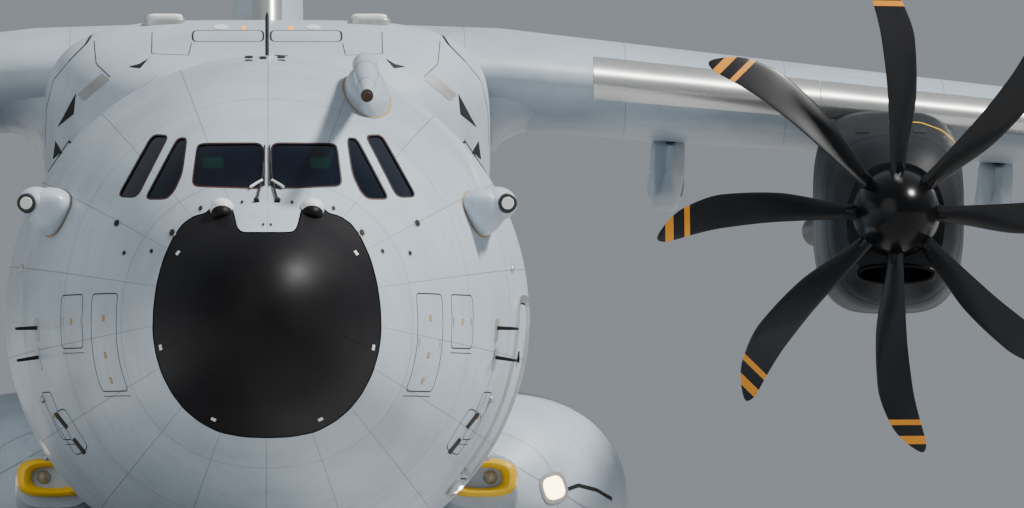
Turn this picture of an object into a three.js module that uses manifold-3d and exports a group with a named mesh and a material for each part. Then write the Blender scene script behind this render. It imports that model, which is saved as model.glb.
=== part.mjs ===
// A four-engined turboprop military transport aeroplane, parked on its wheels, as a 1:2 scale model.
// Every size here is the full-size aeroplane's, in millimetres; the whole group is then scaled once.
// The nose points along -Y, the port side is +X, up is +Z, and the ground is z = 0.
// A station is a distance aft of the nose tip, so y = station - LENGTH / 2.
import * as THREE from "three";
import { mergeVertices } from "three/addons/utils/BufferGeometryUtils.js";
import Module from "manifold-3d";

const wasm = await Module();
wasm.setup();

// Driving dimensions
const MODEL_SCALE = 0.5;
const LENGTH = 45100;
const SEAT = 0.7; // what touching pieces leave between them
const RUNNING = 16; // what moving pieces leave round them
const FLATNESS = 0.05; // what a face may be out by when its flat neighbours are merged with it
const HULL_SIDES = 24;
const POD_SIDES = 16; // of nacelles, sponsons and the wing's fairing
const ROUND_SIDES = 8; // of small rods and pins
const SHAFT_SIDES = 24; // of rods that turn in a bore
const SHAFT_GAP = 0.6; // what a turning rod's corners leave in its bore
const NOSE_JOINT = 8000; // station of the frame between nose and centre fuselage
const AFT_JOINT = 26400; // station of the ramp's hinge frame
const WALL = 110;
const FLOOR_TOP = 1550;
const DECK_TOP = 3400; // flight deck floor
const TIP = new THREE.Vector3(0, -LENGTH / 2, 3260);

// The hull's sections: station, half width, top, bottom, height of the widest line, and the
// power of its superellipse, where 2 is an ellipse and more is squarer.
const HULL = [
  { station: 20, half: 150, top: 3400, bottom: 3120, middle: 3260, power: 2 },
  { station: 150, half: 410, top: 3680, bottom: 2850, middle: 3250, power: 2 },
  { station: 400, half: 670, top: 3920, bottom: 2575, middle: 3235, power: 2.05 },
  { station: 800, half: 925, top: 4130, bottom: 2275, middle: 3210, power: 2.1 },
  { station: 1400, half: 1200, top: 4370, bottom: 1990, middle: 3190, power: 2.15 },
  { station: 2000, half: 1460, top: 4620, bottom: 1745, middle: 3190, power: 2.2 },
  { station: 2750, half: 1755, top: 5100, bottom: 1470, middle: 3200, power: 2.2 },
  { station: 3300, half: 1955, top: 5370, bottom: 1290, middle: 3220, power: 2.15 },
  { station: 4400, half: 2300, top: 5740, bottom: 985, middle: 3270, power: 2.1 },
  { station: 5800, half: 2620, top: 6020, bottom: 710, middle: 3330, power: 2.03 },
  { station: 7500, half: 2800, top: 6130, bottom: 575, middle: 3360, power: 2 },
  { station: 8500, half: 2820, top: 6140, bottom: 560, middle: 3360, power: 2 },
  { station: 24000, half: 2820, top: 6140, bottom: 560, middle: 3360, power: 2 },
  { station: 26400, half: 2800, top: 6140, bottom: 850, middle: 3450, power: 2 },
  { station: 29000, half: 2700, top: 6140, bottom: 1500, middle: 3750, power: 2 },
  { station: 31800, half: 2440, top: 6140, bottom: 2270, middle: 4150, power: 2 },
  { station: 34500, half: 2050, top: 6130, bottom: 2990, middle: 4500, power: 2 },
  { station: 37200, half: 1560, top: 6080, bottom: 3720, middle: 4850, power: 2 },
  { station: 40000, half: 950, top: 5950, bottom: 4470, middle: 5180, power: 2 },
  { station: 42000, half: 430, top: 5760, bottom: 4960, middle: 5350, power: 2 },
  { station: 42600, half: 230, top: 5650, bottom: 5130, middle: 5390, power: 2 },
];
const HULL_EXTRA_STATIONS = [2350, 3800, 6600];

// The radome's joint as seen from ahead, port half: x and z, from the notch at the top to the keel.
const RADOME_EDGE = [
  [260, 4125], [310, 4180], [350, 4370], [400, 4420], [560, 4420], [640, 4340], [760, 4310],
  [880, 4230], [985, 4080], [1085, 3850], [1150, 3600], [1185, 3340], [1192, 3080], [1160, 2860],
  [1095, 2650], [990, 2450], [865, 2290], [710, 2160], [505, 2050], [250, 2000], [0, 1990],
];
const RADOME_BACK = 1900;

// Windows as seen from ahead, port side: x and z of each corner.
const PANES = {
  windscreen: [[45, 4594], [774, 4628], [705, 5050], [670, 5075], [45, 5075]],
  side_window_front: [[1048, 4490], [1268, 4490], [920, 5140], [845, 5140], [900, 4760], [975, 4574]],
  side_window_rear: [[1368, 4516], [1558, 4537], [1190, 5190], [1030, 5180]],
};
const PANE_DEPTH = 40;
const PANE_REACH = [1500, 5200]; // stations between which the panes' prisms cut

// Wing: level across the fuselage out to kinkX, then drooping in a straight line to the tip.
const WING = {
  rootX: 1500, kinkX: 2600, tipX: 21200, leStation: 14200, leSlope: 0.3153, leZ: 6340, leDrop: 0.0835,
  rootChord: 7470, tipChord: 2950, rootThick: 0.158, tipThick: 0.115, camber: 0.018, incidence: 0.05,
};
const FLAP_HINGE = 0.6; // share of the chord
const FLAP_DROP = 0.075; // hinge line below the wing's lower skin, in chords
const FLAP_ARC = 0.21; // radius of the arc between wing and flap, in chords
const FLAP_SPANS = { inner: [3300, 9000], outer: [9080, 15300] };
const FLAP_ARMS = { inner: [4530, 8280], outer: [10300, 14500] };
const ARM = { thick: 100, hub: 120, pin: 40, cheek: 190, depth: 300 };
const SLOT_TOP = 0.062; // top of the slot that an arm swings in, in chords above the hinge line
const AILERON_HINGE = 0.74;
const AILERON_SPAN = [15500, 20300];
const HINGE_PIN = 40;
const NOSE_SHARE = 0.985; // of the half thickness, so that a control's nose stays under the skin
const COVE_GAP = 1.4 * RUNNING;

// Engines: x of the axis, station of the propeller's plane, height of the axis.
const ENGINES = [
  { place: "inner", x: 6940, station: 13150, z: 4550 },
  { place: "outer", x: 12700, station: 14960, z: 4080 },
];
const PROPELLER = {
  spinner: 500, nose: 560, back: 284, bluntness: 2.2, blades: 8, shaft: 120, shaftEnd: 780,
};
// Blade sections: distance from the axis, chord, angle to the disc in degrees, sweep and thickness.
const BLADE = [
  { out: 400, chord: 270, angle: 60, sweep: 0, thick: 150 },
  { out: 800, chord: 350, angle: 51, sweep: 30, thick: 80 },
  { out: 1300, chord: 440, angle: 42, sweep: 60, thick: 50 },
  { out: 1900, chord: 450, angle: 33, sweep: 20, thick: 32 },
  { out: 2350, chord: 370, angle: 28, sweep: -110, thick: 22 },
  { out: 2640, chord: 170, angle: 25, sweep: -280, thick: 12 },
];
// Nacelle sections: the station is from the propeller's plane and the heights from its axis.
const NACELLE = [
  { station: 300, half: 545, top: 565, bottom: -800, middle: -60, power: 2.2 },
  { station: 700, half: 700, top: 790, bottom: -960, middle: 0, power: 2.6 },
  { station: 1500, half: 800, top: 1010, bottom: -1060, middle: 60, power: 3 },
  { station: 2600, half: 820, top: 1180, bottom: -1080, middle: 80, power: 3.5 },
  { station: 3900, half: 810, top: 1205, bottom: -1020, middle: 100, power: 3.4 },
  { station: 5200, half: 700, top: 1100, bottom: -560, middle: 300, power: 2.8 },
  { station: 6150, half: 480, top: 950, bottom: 60, middle: 480, power: 2.4 },
  { station: 6950, half: 130, top: 800, bottom: 540, middle: 670, power: 2 },
];
const INTAKE = [
  { station: 200, half: 420, top: -575, bottom: -770, middle: -670, power: 2.6 },
  { station: 1300, half: 330, top: -600, bottom: -740, middle: -670, power: 2.6 },
];

// Tail
const FIN = { rootZ: 5500, topZ: 14000, leStation: 31900, leSlope: 0.65, rootChord: 8700, topChord: 5150 };
const FIN_THICK = { root: 0.11, top: 0.115 };
const TAILPLANE = {
  span: 8600, z: 14230, leStation: 37935, leSlope: 0.5774, rootChord: 5005, tipChord: 2200,
};
const TAIL_THICK = 0.11;
const RUDDER_SPAN = [7150, 13250];
const ELEVATOR_SPAN = [1250, 8250];
const TAIL_HINGE = 0.68;

// Landing gear
const MAIN_AXLES = [18500, 20100, 21700];
const MAIN_WHEEL = { radius: 545, width: 400, x: 3150, apart: 860 };
const NOSE_WHEEL = { radius: 430, width: 270, station: 4900, apart: 640 };
const AXLE = 70;
const NOSE_BAY = { half: 480, station: [4250, 5900], ceiling: 1270, wall: 80 };
const MAIN_BAY = { x: [2330, 3830], station: [17750, 22450], ceiling: 1350 };
// Sponson sections, port side; x is the middle of each.
const SPONSON = [
  { station: 13300, x: 2300, half: 90, top: 1480, bottom: 1300, middle: 1390, power: 2 },
  { station: 13700, x: 2330, half: 560, top: 1900, bottom: 1010, middle: 1390, power: 2 },
  { station: 14600, x: 2400, half: 1200, top: 2420, bottom: 720, middle: 1360, power: 2.15 },
  { station: 16200, x: 2500, half: 1530, top: 2600, bottom: 610, middle: 1310, power: 2.3 },
  { station: 17500, x: 2500, half: 1560, top: 2620, bottom: 600, middle: 1300, power: 2.3 },
  { station: 22600, x: 2500, half: 1560, top: 2620, bottom: 600, middle: 1300, power: 2.3 },
  { station: 23600, x: 2430, half: 1300, top: 2480, bottom: 740, middle: 1350, power: 2.2 },
  { station: 24500, x: 2330, half: 560, top: 1950, bottom: 1120, middle: 1450, power: 2 },
  { station: 24900, x: 2300, half: 90, top: 1560, bottom: 1400, middle: 1480, power: 2 },
];
// Wing fairing sections, over the crown.
const FAIRING = [
  { station: 11300, half: 1300, top: 6060, bottom: 4300, middle: 5300, power: 3 },
  { station: 12600, half: 2150, top: 6420, bottom: 4300, middle: 5300, power: 3.4 },
  { station: 14200, half: 2470, top: 6700, bottom: 4300, middle: 5300, power: 4 },
  { station: 16500, half: 2480, top: 6745, bottom: 4300, middle: 5300, power: 4 },
  { station: 21000, half: 2480, top: 6600, bottom: 4300, middle: 5300, power: 3.6 },
  { station: 23600, half: 2250, top: 6330, bottom: 4300, middle: 5300, power: 3.2 },
  { station: 25800, half: 1300, top: 6060, bottom: 4300, middle: 5300, power: 3 },
];

// Rear opening: the ramp forms the underside up to its tip, and the door the underside behind it.
const RAMP = {
  half: 1960, hingeZ: 1250, tip: 31780, cornerZ: 2270, tipZ: 2900, lean: 280,
  tube: 80, tubeHalf: 1350, recess: 430, front: 200,
};
const RAMP_LUGS = { x: [-1000, 1000], half: 60, hub: 100, pin: 40, pinHalf: 90 };
const CARGO_DOOR = { front: 1960, back: 1000, end: 37150, hingeZ: 4300, top: 4600 };
const DOOR_LUGS = { x: [-700, 700], half: 40, hub: 90, pin: 30, pinHalf: 100, plate: 30 };
const CREW_DOOR = { station: [6060, 7000], z: [1600, 3450], hingeZ: 1650, tube: 26 };
const TREADS = { count: 6, inset: 120, thick: 45, depth: 170 };
const DOORS_FROM_X = 1000; // a door's cut starts here and goes out through the skin
const TROOP_DOOR = { station: [25050, 25950], z: [1640, 3540] };
const PROBE = { x: 1040, tip: [1450, 5540], tail: [5000, 5960], radius: 130, tipRadius: 55 };
const PROBE_BASE = { station: 5300, z: 5560, radii: [260, 1350, 420], tailRadius: 420 };
const SENSOR_DOME = { x: 2380, station: 4780, z: 4470, radii: [235, 420, 210] };
const BULLET = { station: 40000, drop: 60, radii: [400, 3300, 430] };
const WHEEL_SIDES = 14;

// Flight deck
const DECK = { start: 1960, end: 5700, thick: 110, frontWall: 2010 };
const DOORWAY = { half: 400, top: 5350 };
const PANEL = { half: 1150, station: [2750, 2980], top: 4330 };
const GLARE_SHIELD = { half: 1200, station: [2560, 3020], top: 4390, overlap: 5 };
const SEATS_X = 620;
// The parts of a seat: half width, stations, heights.
const SEAT_PARTS = {
  frame: [150, [3600, 3950], [DECK_TOP + SEAT, 3750]],
  cushion: [240, [3500, 4060], [3740, 3880]],
  back: [230, [4000, 4130], [3800, 4560]],
  headrest: [130, [4020, 4110], [4550, 4760]],
};

const COLOURS = {
  skin: { color: 0xaab7c2, roughness: 0.5, metalness: 0.1 },
  radome: { color: 0x1c1c20, roughness: 0.6, metalness: 0 },
  glass: { color: 0x0c1826, roughness: 0.1, metalness: 0 },
  inside: { color: 0x70766f, roughness: 0.8, metalness: 0 },
  seat: { color: 0x2b2f33, roughness: 0.9, metalness: 0 },
  bladeBlack: { color: 0x15161a, roughness: 0.4, metalness: 0 },
  nacelle: { color: 0x5a6068, roughness: 0.5, metalness: 0.1 },
  tyre: { color: 0x1a1a1a, roughness: 0.9, metalness: 0 },
  leg: { color: 0xd9dcdc, roughness: 0.4, metalness: 0.3 },
};

const aeroplane = new THREE.Group();
aeroplane.scale.setScalar(MODEL_SCALE);

// A point from its x, station and height.
function at(x, station, z) {
  return new THREE.Vector3(x, station - LENGTH / 2, z);
}

// A closed geometry as a solid, turned face out whichever way round it was made.
function solid(geometry) {
  const bare = new THREE.BufferGeometry();
  bare.setAttribute("position", geometry.getAttribute("position"));
  bare.setIndex(geometry.getIndex());
  const merged = mergeVertices(bare, 1e-3);
  const triVerts = new Uint32Array(merged.index.array);
  const vertProperties = merged.attributes.position.array;
  let volume = 0;
  const [a, b, c] = [new THREE.Vector3(), new THREE.Vector3(), new THREE.Vector3()];
  for (let i = 0; i < triVerts.length; i += 3) {
    [a, b, c].forEach((v, k) => v.fromArray(vertProperties, 3 * triVerts[i + k]));
    volume += a.dot(b.cross(c));
  }
  if (volume < 0)
    for (let i = 0; i < triVerts.length; i += 3)
      [triVerts[i + 1], triVerts[i + 2]] = [triVerts[i + 2], triVerts[i + 1]];
  return new wasm.Manifold(new wasm.Mesh({ numProp: 3, vertProperties, triVerts }));
}

// Puts a solid into the aeroplane as a named mesh.
function add(name, body, look) {
  const made = body.asOriginal().simplify(FLATNESS).getMesh();
  const geometry = new THREE.BufferGeometry();
  const count = made.numVert;
  const points = new Float32Array(count * 3);
  for (let i = 0; i < count; i++)
    points.set(made.vertProperties.subarray(i * made.numProp, i * made.numProp + 3), i * 3);
  geometry.setAttribute("position", new THREE.BufferAttribute(points, 3));
  geometry.setIndex(new THREE.BufferAttribute(new Uint32Array(made.triVerts), 1));
  geometry.computeVertexNormals();
  const mesh = new THREE.Mesh(geometry, new THREE.MeshStandardMaterial(COLOURS[look]));
  mesh.name = name;
  aeroplane.add(mesh);
  return mesh;
}

// The largest separate piece of a solid, without the slivers that a cut leaves.
function largest(body) {
  return body.decompose().sort((p, q) => q.volume() - p.volume())[0];
}

// The same solid on the other side of the plane of symmetry.
function mirrored(body) {
  return body.mirror([1, 0, 0]);
}

function union(bodies) {
  return bodies.reduce((sum, body) => sum.add(body));
}

// Monotone cubic through one column of a table, so that it never overshoots a row.
function curve(table, column, station) {
  const last = table.length - 1;
  const x = table.map((row) => row.station);
  const y = table.map((row) => row[column]);
  if (station <= x[0]) return y[0];
  if (station >= x[last]) return y[last];
  const i = x.findIndex((value) => value > station) - 1;
  const slope = (k) => (y[k + 1] - y[k]) / (x[k + 1] - x[k]);
  const tangent = (k) => {
    if (k === 0) return slope(0);
    if (k === last) return slope(last - 1);
    const [before, after] = [slope(k - 1), slope(k)];
    if (before * after <= 0) return 0;
    const [h0, h1] = [x[k] - x[k - 1], x[k + 1] - x[k]];
    const [w0, w1] = [2 * h1 + h0, h1 + 2 * h0];
    return (w0 + w1) / (w0 / before + w1 / after);
  };
  const h = x[i + 1] - x[i];
  const t = (station - x[i]) / h;
  const [t2, t3] = [t * t, t * t * t];
  return (
    y[i] * (2 * t3 - 3 * t2 + 1) + tangent(i) * h * (t3 - 2 * t2 + t) +
    y[i + 1] * (3 * t2 - 2 * t3) + tangent(i + 1) * h * (t3 - t2)
  );
}

// A closed body through rings of points, each end closed by a fan round its middle or a tip.
function loft(rings, tips = []) {
  const count = rings[0].length;
  const points = rings.flat();
  const faces = [];
  for (let r = 0; r + 1 < rings.length; r++)
    for (let k = 0; k < count; k++) {
      const [a, b] = [r * count + k, r * count + ((k + 1) % count)];
      faces.push(a, b, b + count, a, b + count, a + count);
    }
  [0, rings.length - 1].forEach((r, end) => {
    const middle = new THREE.Vector3();
    rings[r].forEach((p) => middle.addScaledVector(p, 1 / count));
    points.push(tips[end] ?? middle);
    for (let k = 0; k < count; k++) {
      const [a, b] = [r * count + k, r * count + ((k + 1) % count)];
      if (end) faces.push(points.length - 1, a, b);
      else faces.push(points.length - 1, b, a);
    }
  });
  const geometry = new THREE.BufferGeometry().setFromPoints(points);
  geometry.setIndex(faces);
  return solid(geometry);
}

// A superellipse ring in a plane of constant station, with its own top and bottom heights.
function ringAt(row, inset, sides) {
  const ring = [];
  for (let k = 0; k < sides; k++) {
    const turn = (2 * Math.PI * k) / sides;
    const bulge = (v) => Math.sign(v) * Math.abs(v) ** (2 / row.power);
    const [across, up] = [bulge(Math.cos(turn)), bulge(Math.sin(turn))];
    const reach = up > 0 ? row.top - row.middle : row.middle - row.bottom;
    const x = (row.x ?? 0) + (row.half - inset) * across;
    ring.push(at(x, row.station, row.middle + (reach - inset) * up));
  }
  return ring;
}

// A row of a section table worked out at any station.
function rowAt(table, station) {
  const row = { station };
  for (const column of Object.keys(table[0]))
    if (column !== "station") row[column] = curve(table, column, station);
  return row;
}

const hullStations = [...HULL.map((row) => row.station), ...HULL_EXTRA_STATIONS].sort((a, b) => a - b);

// The whole hull, inset by a thickness, or grown by a negative one.
function hull(inset = 0) {
  const rings = hullStations
    .filter((station) => curve(HULL, "half", station) > inset + 60)
    .map((station) => ringAt(rowAt(HULL, station), inset, HULL_SIDES));
  const tip = TIP.clone();
  tip.y += inset;
  return loft(rings, inset > 60 ? [] : [tip]);
}

// A box from its lowest to its highest x, station and height.
function block(x, station, z) {
  const size = [x, station, z].map(([low, high]) => high - low);
  const geometry = new THREE.BoxGeometry(...size);
  const middle = at((x[0] + x[1]) / 2, (station[0] + station[1]) / 2, (z[0] + z[1]) / 2);
  geometry.translate(middle.x, middle.y, middle.z);
  return solid(geometry);
}

// A prism from an outline of pairs: along Y the pairs are x and z, along X they are station and z.
function prism(outline, along, from, to) {
  const shape = new THREE.Shape(outline.map(([u, v]) => new THREE.Vector2(u, v)));
  const geometry = new THREE.ExtrudeGeometry(shape, { depth: to - from, bevelEnabled: false });
  const axis = {
    x: [new THREE.Vector3(0, 1, 0), new THREE.Vector3(0, 0, 1), new THREE.Vector3(1, 0, 0)],
    y: [new THREE.Vector3(1, 0, 0), new THREE.Vector3(0, 0, 1), new THREE.Vector3(0, -1, 0)],
  }[along];
  geometry.applyMatrix4(new THREE.Matrix4().makeBasis(...axis));
  if (along === "x") geometry.translate(from, -LENGTH / 2, 0);
  else geometry.translate(0, to - LENGTH / 2, 0);
  return solid(geometry);
}

// An outline moved inwards by a distance, or outwards by a negative one; its corners are mitred.
function inset(outline, distance) {
  const turns = outline.map(([x, y], i) => {
    const [nx, ny] = outline[(i + 1) % outline.length];
    return x * ny - nx * y;
  });
  const side = Math.sign(turns.reduce((sum, value) => sum + value));
  const normal = ([ax, ay], [bx, by]) => {
    const run = Math.hypot(bx - ax, by - ay);
    return [(-side * (by - ay)) / run, (side * (bx - ax)) / run];
  };
  return outline.map((corner, i) => {
    const before = normal(outline[(i + outline.length - 1) % outline.length], corner);
    const after = normal(corner, outline[(i + 1) % outline.length]);
    const share = distance / (1 + before[0] * after[0] + before[1] * after[1]);
    return [corner[0] + share * (before[0] + after[0]), corner[1] + share * (before[1] + after[1])];
  });
}

// A cylinder or cone between two points.
function rod(from, to, radius, endRadius = radius, sides = ROUND_SIDES) {
  const geometry = new THREE.CylinderGeometry(endRadius, radius, from.distanceTo(to), sides);
  const way = to.clone().sub(from).normalize();
  const turn = new THREE.Quaternion().setFromUnitVectors(new THREE.Vector3(0, 1, 0), way);
  geometry.applyQuaternion(turn);
  geometry.translate(...from.clone().add(to).multiplyScalar(0.5).toArray());
  return solid(geometry);
}

// The radius of a bore whose flats clear the corners of a rod that turns in it.
function boreFor(radius) {
  return radius / Math.cos(Math.PI / SHAFT_SIDES) + SHAFT_GAP;
}

// A rod that turns in a bore, or with its radius from boreFor the bore itself.
function shaftRod(from, to, radius) {
  return rod(from, to, radius, radius, SHAFT_SIDES);
}

// An ellipsoid from its centre and three radii.
function blob(centre, radii, sides = 16) {
  const geometry = new THREE.SphereGeometry(1, sides, sides / 2);
  geometry.scale(...radii);
  geometry.translate(...centre.toArray());
  return solid(geometry);
}

// A hinge line with its own frame: along it, aft of it, and up towards a given side. Its slant is
// how far along it a step straight aft goes for each step square to it.
function hingeLine(from, to, side) {
  const line = to.clone().sub(from).normalize();
  const aft = new THREE.Vector3().crossVectors(side, line).normalize();
  if (aft.y < 0) aft.negate();
  const up = new THREE.Vector3().crossVectors(line, aft).normalize();
  if (up.dot(side) < 0) up.negate();
  const point = (along, back, lift) =>
    from.clone().addScaledVector(line, along).addScaledVector(aft, back).addScaledVector(up, lift);
  return { from, to, line, point, length: from.distanceTo(to), slant: line.y / aft.y };
}

// A plate square to a hinge line, from an outline of pairs: aft and up.
function plate(hinge, [from, to], outline) {
  return loft([from, to].map((along) => outline.map(([back, lift]) => hinge.point(along, back, lift))));
}

// A cone or rod along a hinge line, its radii given at the two places.
function hingeRod(hinge, [from, to], radius, endRadius = radius, sides = ROUND_SIDES) {
  return rod(hinge.point(from, 0, 0), hinge.point(to, 0, 0), radius, endRadius, sides);
}

// Half thickness of an aerofoil at a share of its chord, for a thickness of one chord.
function halfThickness(share) {
  const series = 0.2969 * Math.sqrt(share) - 0.126 * share - 0.3516 * share ** 2;
  return 5 * (series + 0.2843 * share ** 3 - 0.1015 * share ** 4);
}

const SHARES = [1, 0.8, 0.6, 0.4, 0.22, 0.09, 0.02, 0];

// A point of a lifting surface: its place along the span, share of the chord, and which skin,
// where 1 is the upper, -1 the lower and 0 the middle.
function onSurface(surface, place, share, skin, grow = 0) {
  const chord = surface.chord(place);
  const bow = surface.camber * 4 * share * (1 - share) * chord;
  const out = bow + skin * (surface.thick(place) * halfThickness(share) * chord + grow);
  const aft = share * (chord + 2 * grow) - grow;
  const fall = new THREE.Vector3(0, aft, -surface.incidence * aft);
  return surface.lead(place).add(fall).addScaledVector(surface.side, out);
}

// A lifting surface as one solid through the places given.
function panel(surface, places, grow = 0) {
  const rings = places.map((place) => [
    ...SHARES.map((share) => onSurface(surface, place, share, 1, grow)),
    ...SHARES.slice(0, -1).reverse().map((share) => onSurface(surface, place, share, -1, grow)),
  ]);
  return loft(rings);
}

function lerp(from, to, share) {
  return from + (to - from) * share;
}

const REACH = 5000; // longer than any cut has to be
const BEHIND = [[0, -REACH], [REACH, -REACH], [REACH, REACH], [0, REACH]];

// Splits a surface at a hinge: the moving part has a half-round nose and pins, the fixed one a cove.
function hinged(whole, hinge, span, radii) {
  const wide = widened(span, RUNNING);
  const pins = hingeRod(hinge, widened(wide, -SEAT), HINGE_PIN);
  const nose = hingeRod(hinge, span, radii[0] * NOSE_SHARE, radii[1] * NOSE_SHARE, 16);
  const cove = hingeRod(hinge, wide, radii[0] + COVE_GAP, radii[1] + COVE_GAP, 16);
  return {
    moving: whole.intersect(plate(hinge, span, BEHIND)).add(nose).add(pins),
    fixed: largest(whole.subtract(plate(hinge, wide, BEHIND)).subtract(cove)),
  };
}

// The hinge in the middle of a surface's thickness at a share of the chord, and its radii there.
function middleHinge(surface, [from, to], share) {
  const hinge = hingeLine(
    onSurface(surface, from, share, 0), onSurface(surface, to, share, 0), surface.side,
  );
  const radii = [from, to].map((p) => surface.thick(p) * halfThickness(share) * surface.chord(p));
  return { hinge, radii, span: [0, hinge.length] };
}

// Fuselage: three shells along the hull, with the flight deck inside the first.
const BIG = 9000;
const across = (half) => [-half, half];
const outer = hull();
const inner = hull(WALL);
const skinGap = hull(-SEAT);
const lining = hull(WALL + SEAT); // what stands inside the walls
const joined = hull(WALL - 20); // what is built into the walls
const radomeOutline = [
  ...RADOME_EDGE, ...RADOME_EDGE.slice(0, -1).reverse().map(([x, z]) => [-x, z]),
];

// A range made longer at both ends, or shorter by a negative gap.
function widened([from, to], gap) {
  return [from - gap, to + gap];
}

// The part of a body between two stations.
function between(body, from, to) {
  return body.intersect(block(across(BIG), [from, to], [-BIG, 2 * BIG]));
}

const radomeShape = prism(inset(radomeOutline, SEAT), "y", -200, RADOME_BACK - SEAT);
add("radome", outer.intersect(radomeShape), "radome");

function noseFuselage() {
  const bay = NOSE_BAY;
  const under = DECK_TOP - DECK.thick;
  const doorway = block(across(DOORWAY.half), [DECK.end - 200, DECK.end + 200], [DECK_TOP, DOORWAY.top]);
  const deck = joined.intersect(block(across(BIG), [DECK.start, DECK.end], [under, DECK_TOP]));
  const bulkhead = between(joined, DECK.end - 100, DECK.end)
    .intersect(block(across(BIG), [0, BIG], [under, BIG]))
    .subtract(doorway);
  const bayBox = block(
    across(bay.half + bay.wall), [bay.station[0] - bay.wall, bay.station[1] + bay.wall],
    [0, bay.ceiling + bay.wall],
  );
  let body = between(outer, -200, NOSE_JOINT - SEAT)
    .subtract(between(inner, DECK.frontWall, BIG))
    .subtract(prism(radomeOutline, "y", -200, RADOME_BACK));
  for (const outline of Object.values(PANES)) {
    const hole = prism(outline, "y", ...PANE_REACH);
    body = body.subtract(hole).subtract(mirrored(hole));
  }
  body = body.add(deck).add(bulkhead).add(bayBox.intersect(joined));
  body = body.subtract(block(across(bay.half), bay.station, [0, bay.ceiling]));
  const opening = [widened(CREW_DOOR.station, RUNNING), widened(CREW_DOOR.z, RUNNING)];
  return body.subtract(block([DOORS_FROM_X, BIG], ...opening)).add(sensorDomes());
}

// A bulged half pod low on each cheek of the nose.
function sensorDomes() {
  const { x, station, z, radii } = SENSOR_DOME;
  const dome = blob(at(x, station, z), radii, 10);
  return dome.add(mirrored(dome));
}

add("nose_fuselage", largest(noseFuselage()), "skin");

const paneWall = outer.subtract(hull(PANE_DEPTH));
for (const [name, outline] of Object.entries(PANES)) {
  const body = largest(paneWall.intersect(prism(inset(outline, SEAT), "y", ...PANE_REACH)));
  add(`${name}_left`, body, "glass");
  add(`${name}_right`, mirrored(body), "glass");
}

// The crew door, hinged along its sill, with its treads on the inside.
function crewDoor() {
  const { station, z, hingeZ, tube } = CREW_DOOR;
  const wall = outer.subtract(inner).intersect(block([DOORS_FROM_X, BIG], station, z));
  const x = doorHingeX();
  const [front, back] = widened(station, RUNNING - SEAT);
  let body = wall.add(rod(at(x, front, hingeZ), at(x, back, hingeZ), tube));
  const pitch = (z[1] - z[0]) / TREADS.count;
  const depth = hull(WALL - 10).subtract(hull(WALL + TREADS.depth));
  for (let i = 0; i < TREADS.count; i++) {
    const level = z[0] + (i + 0.5) * pitch;
    const tread = block([DOORS_FROM_X, BIG], widened(station, -TREADS.inset), [level, level + TREADS.thick]);
    body = body.add(tread.intersect(depth));
  }
  return largest(body);
}

// Where the hull's side is at the sill of the crew door.
function doorHingeX() {
  const row = rowAt(HULL, (CREW_DOOR.station[0] + CREW_DOOR.station[1]) / 2);
  const drop = (row.middle - CREW_DOOR.hingeZ) / (row.middle - row.bottom);
  return row.half * (1 - drop ** row.power) ** (1 / row.power) + 6;
}

add("crew_door", crewDoor(), "skin");

const panelBody = block(across(PANEL.half), PANEL.station, [DECK_TOP + SEAT, PANEL.top]);
const shelf = block(
  across(GLARE_SHIELD.half), GLARE_SHIELD.station, [PANEL.top - GLARE_SHIELD.overlap, GLARE_SHIELD.top],
);
add("instrument_panel", largest(panelBody.add(shelf).intersect(hull(WALL + 60))), "seat");

[["copilot_seat", -SEATS_X], ["pilot_seat", SEATS_X]].forEach(([name, x]) => {
  const parts = Object.values(SEAT_PARTS);
  add(name, union(parts.map(([half, station, z]) => block([x - half, x + half], station, z))), "seat");
});

const rampAxis = [at(-1, AFT_JOINT, RAMP.hingeZ), at(1, AFT_JOINT, RAMP.hingeZ)];
// A rod along the ramp's hinge between two values of x.
function rampRod([from, to], radius, sides = ROUND_SIDES) {
  return rod(at(from, AFT_JOINT, RAMP.hingeZ), at(to, AFT_JOINT, RAMP.hingeZ), radius, radius, sides);
}

function centreFuselage() {
  const doors = block(across(BIG), TROOP_DOOR.station, TROOP_DOOR.z);
  return between(outer, NOSE_JOINT + SEAT, AFT_JOINT - SEAT)
    .subtract(inner).subtract(doors).subtract(rampRod(across(2100), RAMP.recess, 32));
}

add("centre_fuselage", largest(centreFuselage()), "skin");

const troopDoor = outer.subtract(inner).intersect(
  block([DOORS_FROM_X, BIG], widened(TROOP_DOOR.station, -SEAT), widened(TROOP_DOOR.z, -SEAT)),
);
add("paratroop_door_left", troopDoor, "skin");
add("paratroop_door_right", mirrored(troopDoor), "skin");

// The hold's floor, with the lugs that carry the ramp under its rear edge.
function cargoFloor() {
  const end = AFT_JOINT - 60;
  let body = lining.intersect(block(across(2200), [5800, end], [FLOOR_TOP - 130, FLOOR_TOP]));
  const { half, hub, pin } = RAMP_LUGS;
  const top = FLOOR_TOP - 120;
  const outline = [
    [end - 250, top], [AFT_JOINT, RAMP.hingeZ - 90], [AFT_JOINT, RAMP.hingeZ + 90], [end - 1, top],
  ];
  for (const x of RAMP_LUGS.x) {
    const sides = [x - half, x + half];
    body = body.add(prism(outline, "x", ...sides)).add(rampRod(sides, hub));
    body = body.subtract(rampRod(widened(sides, 1), boreFor(pin), SHAFT_SIDES));
  }
  return body;
}

add("cargo_floor", cargoFloor(), "inside");

// The ramp from the side: its underside is the hull's, and its rear face leans forward at the top.
// Grown by a gap it is what the hull leaves free, and then it also runs past the hinge.
function rampOutline(gap) {
  const { tip, cornerZ, tipZ, lean, front } = RAMP;
  const start = gap ? AFT_JOINT - front : AFT_JOINT;
  return [
    [start, 0], [tip + gap, 0], [tip + gap, cornerZ], [tip - lean + gap, tipZ + gap],
    [start, FLOOR_TOP + gap],
  ];
}

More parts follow.
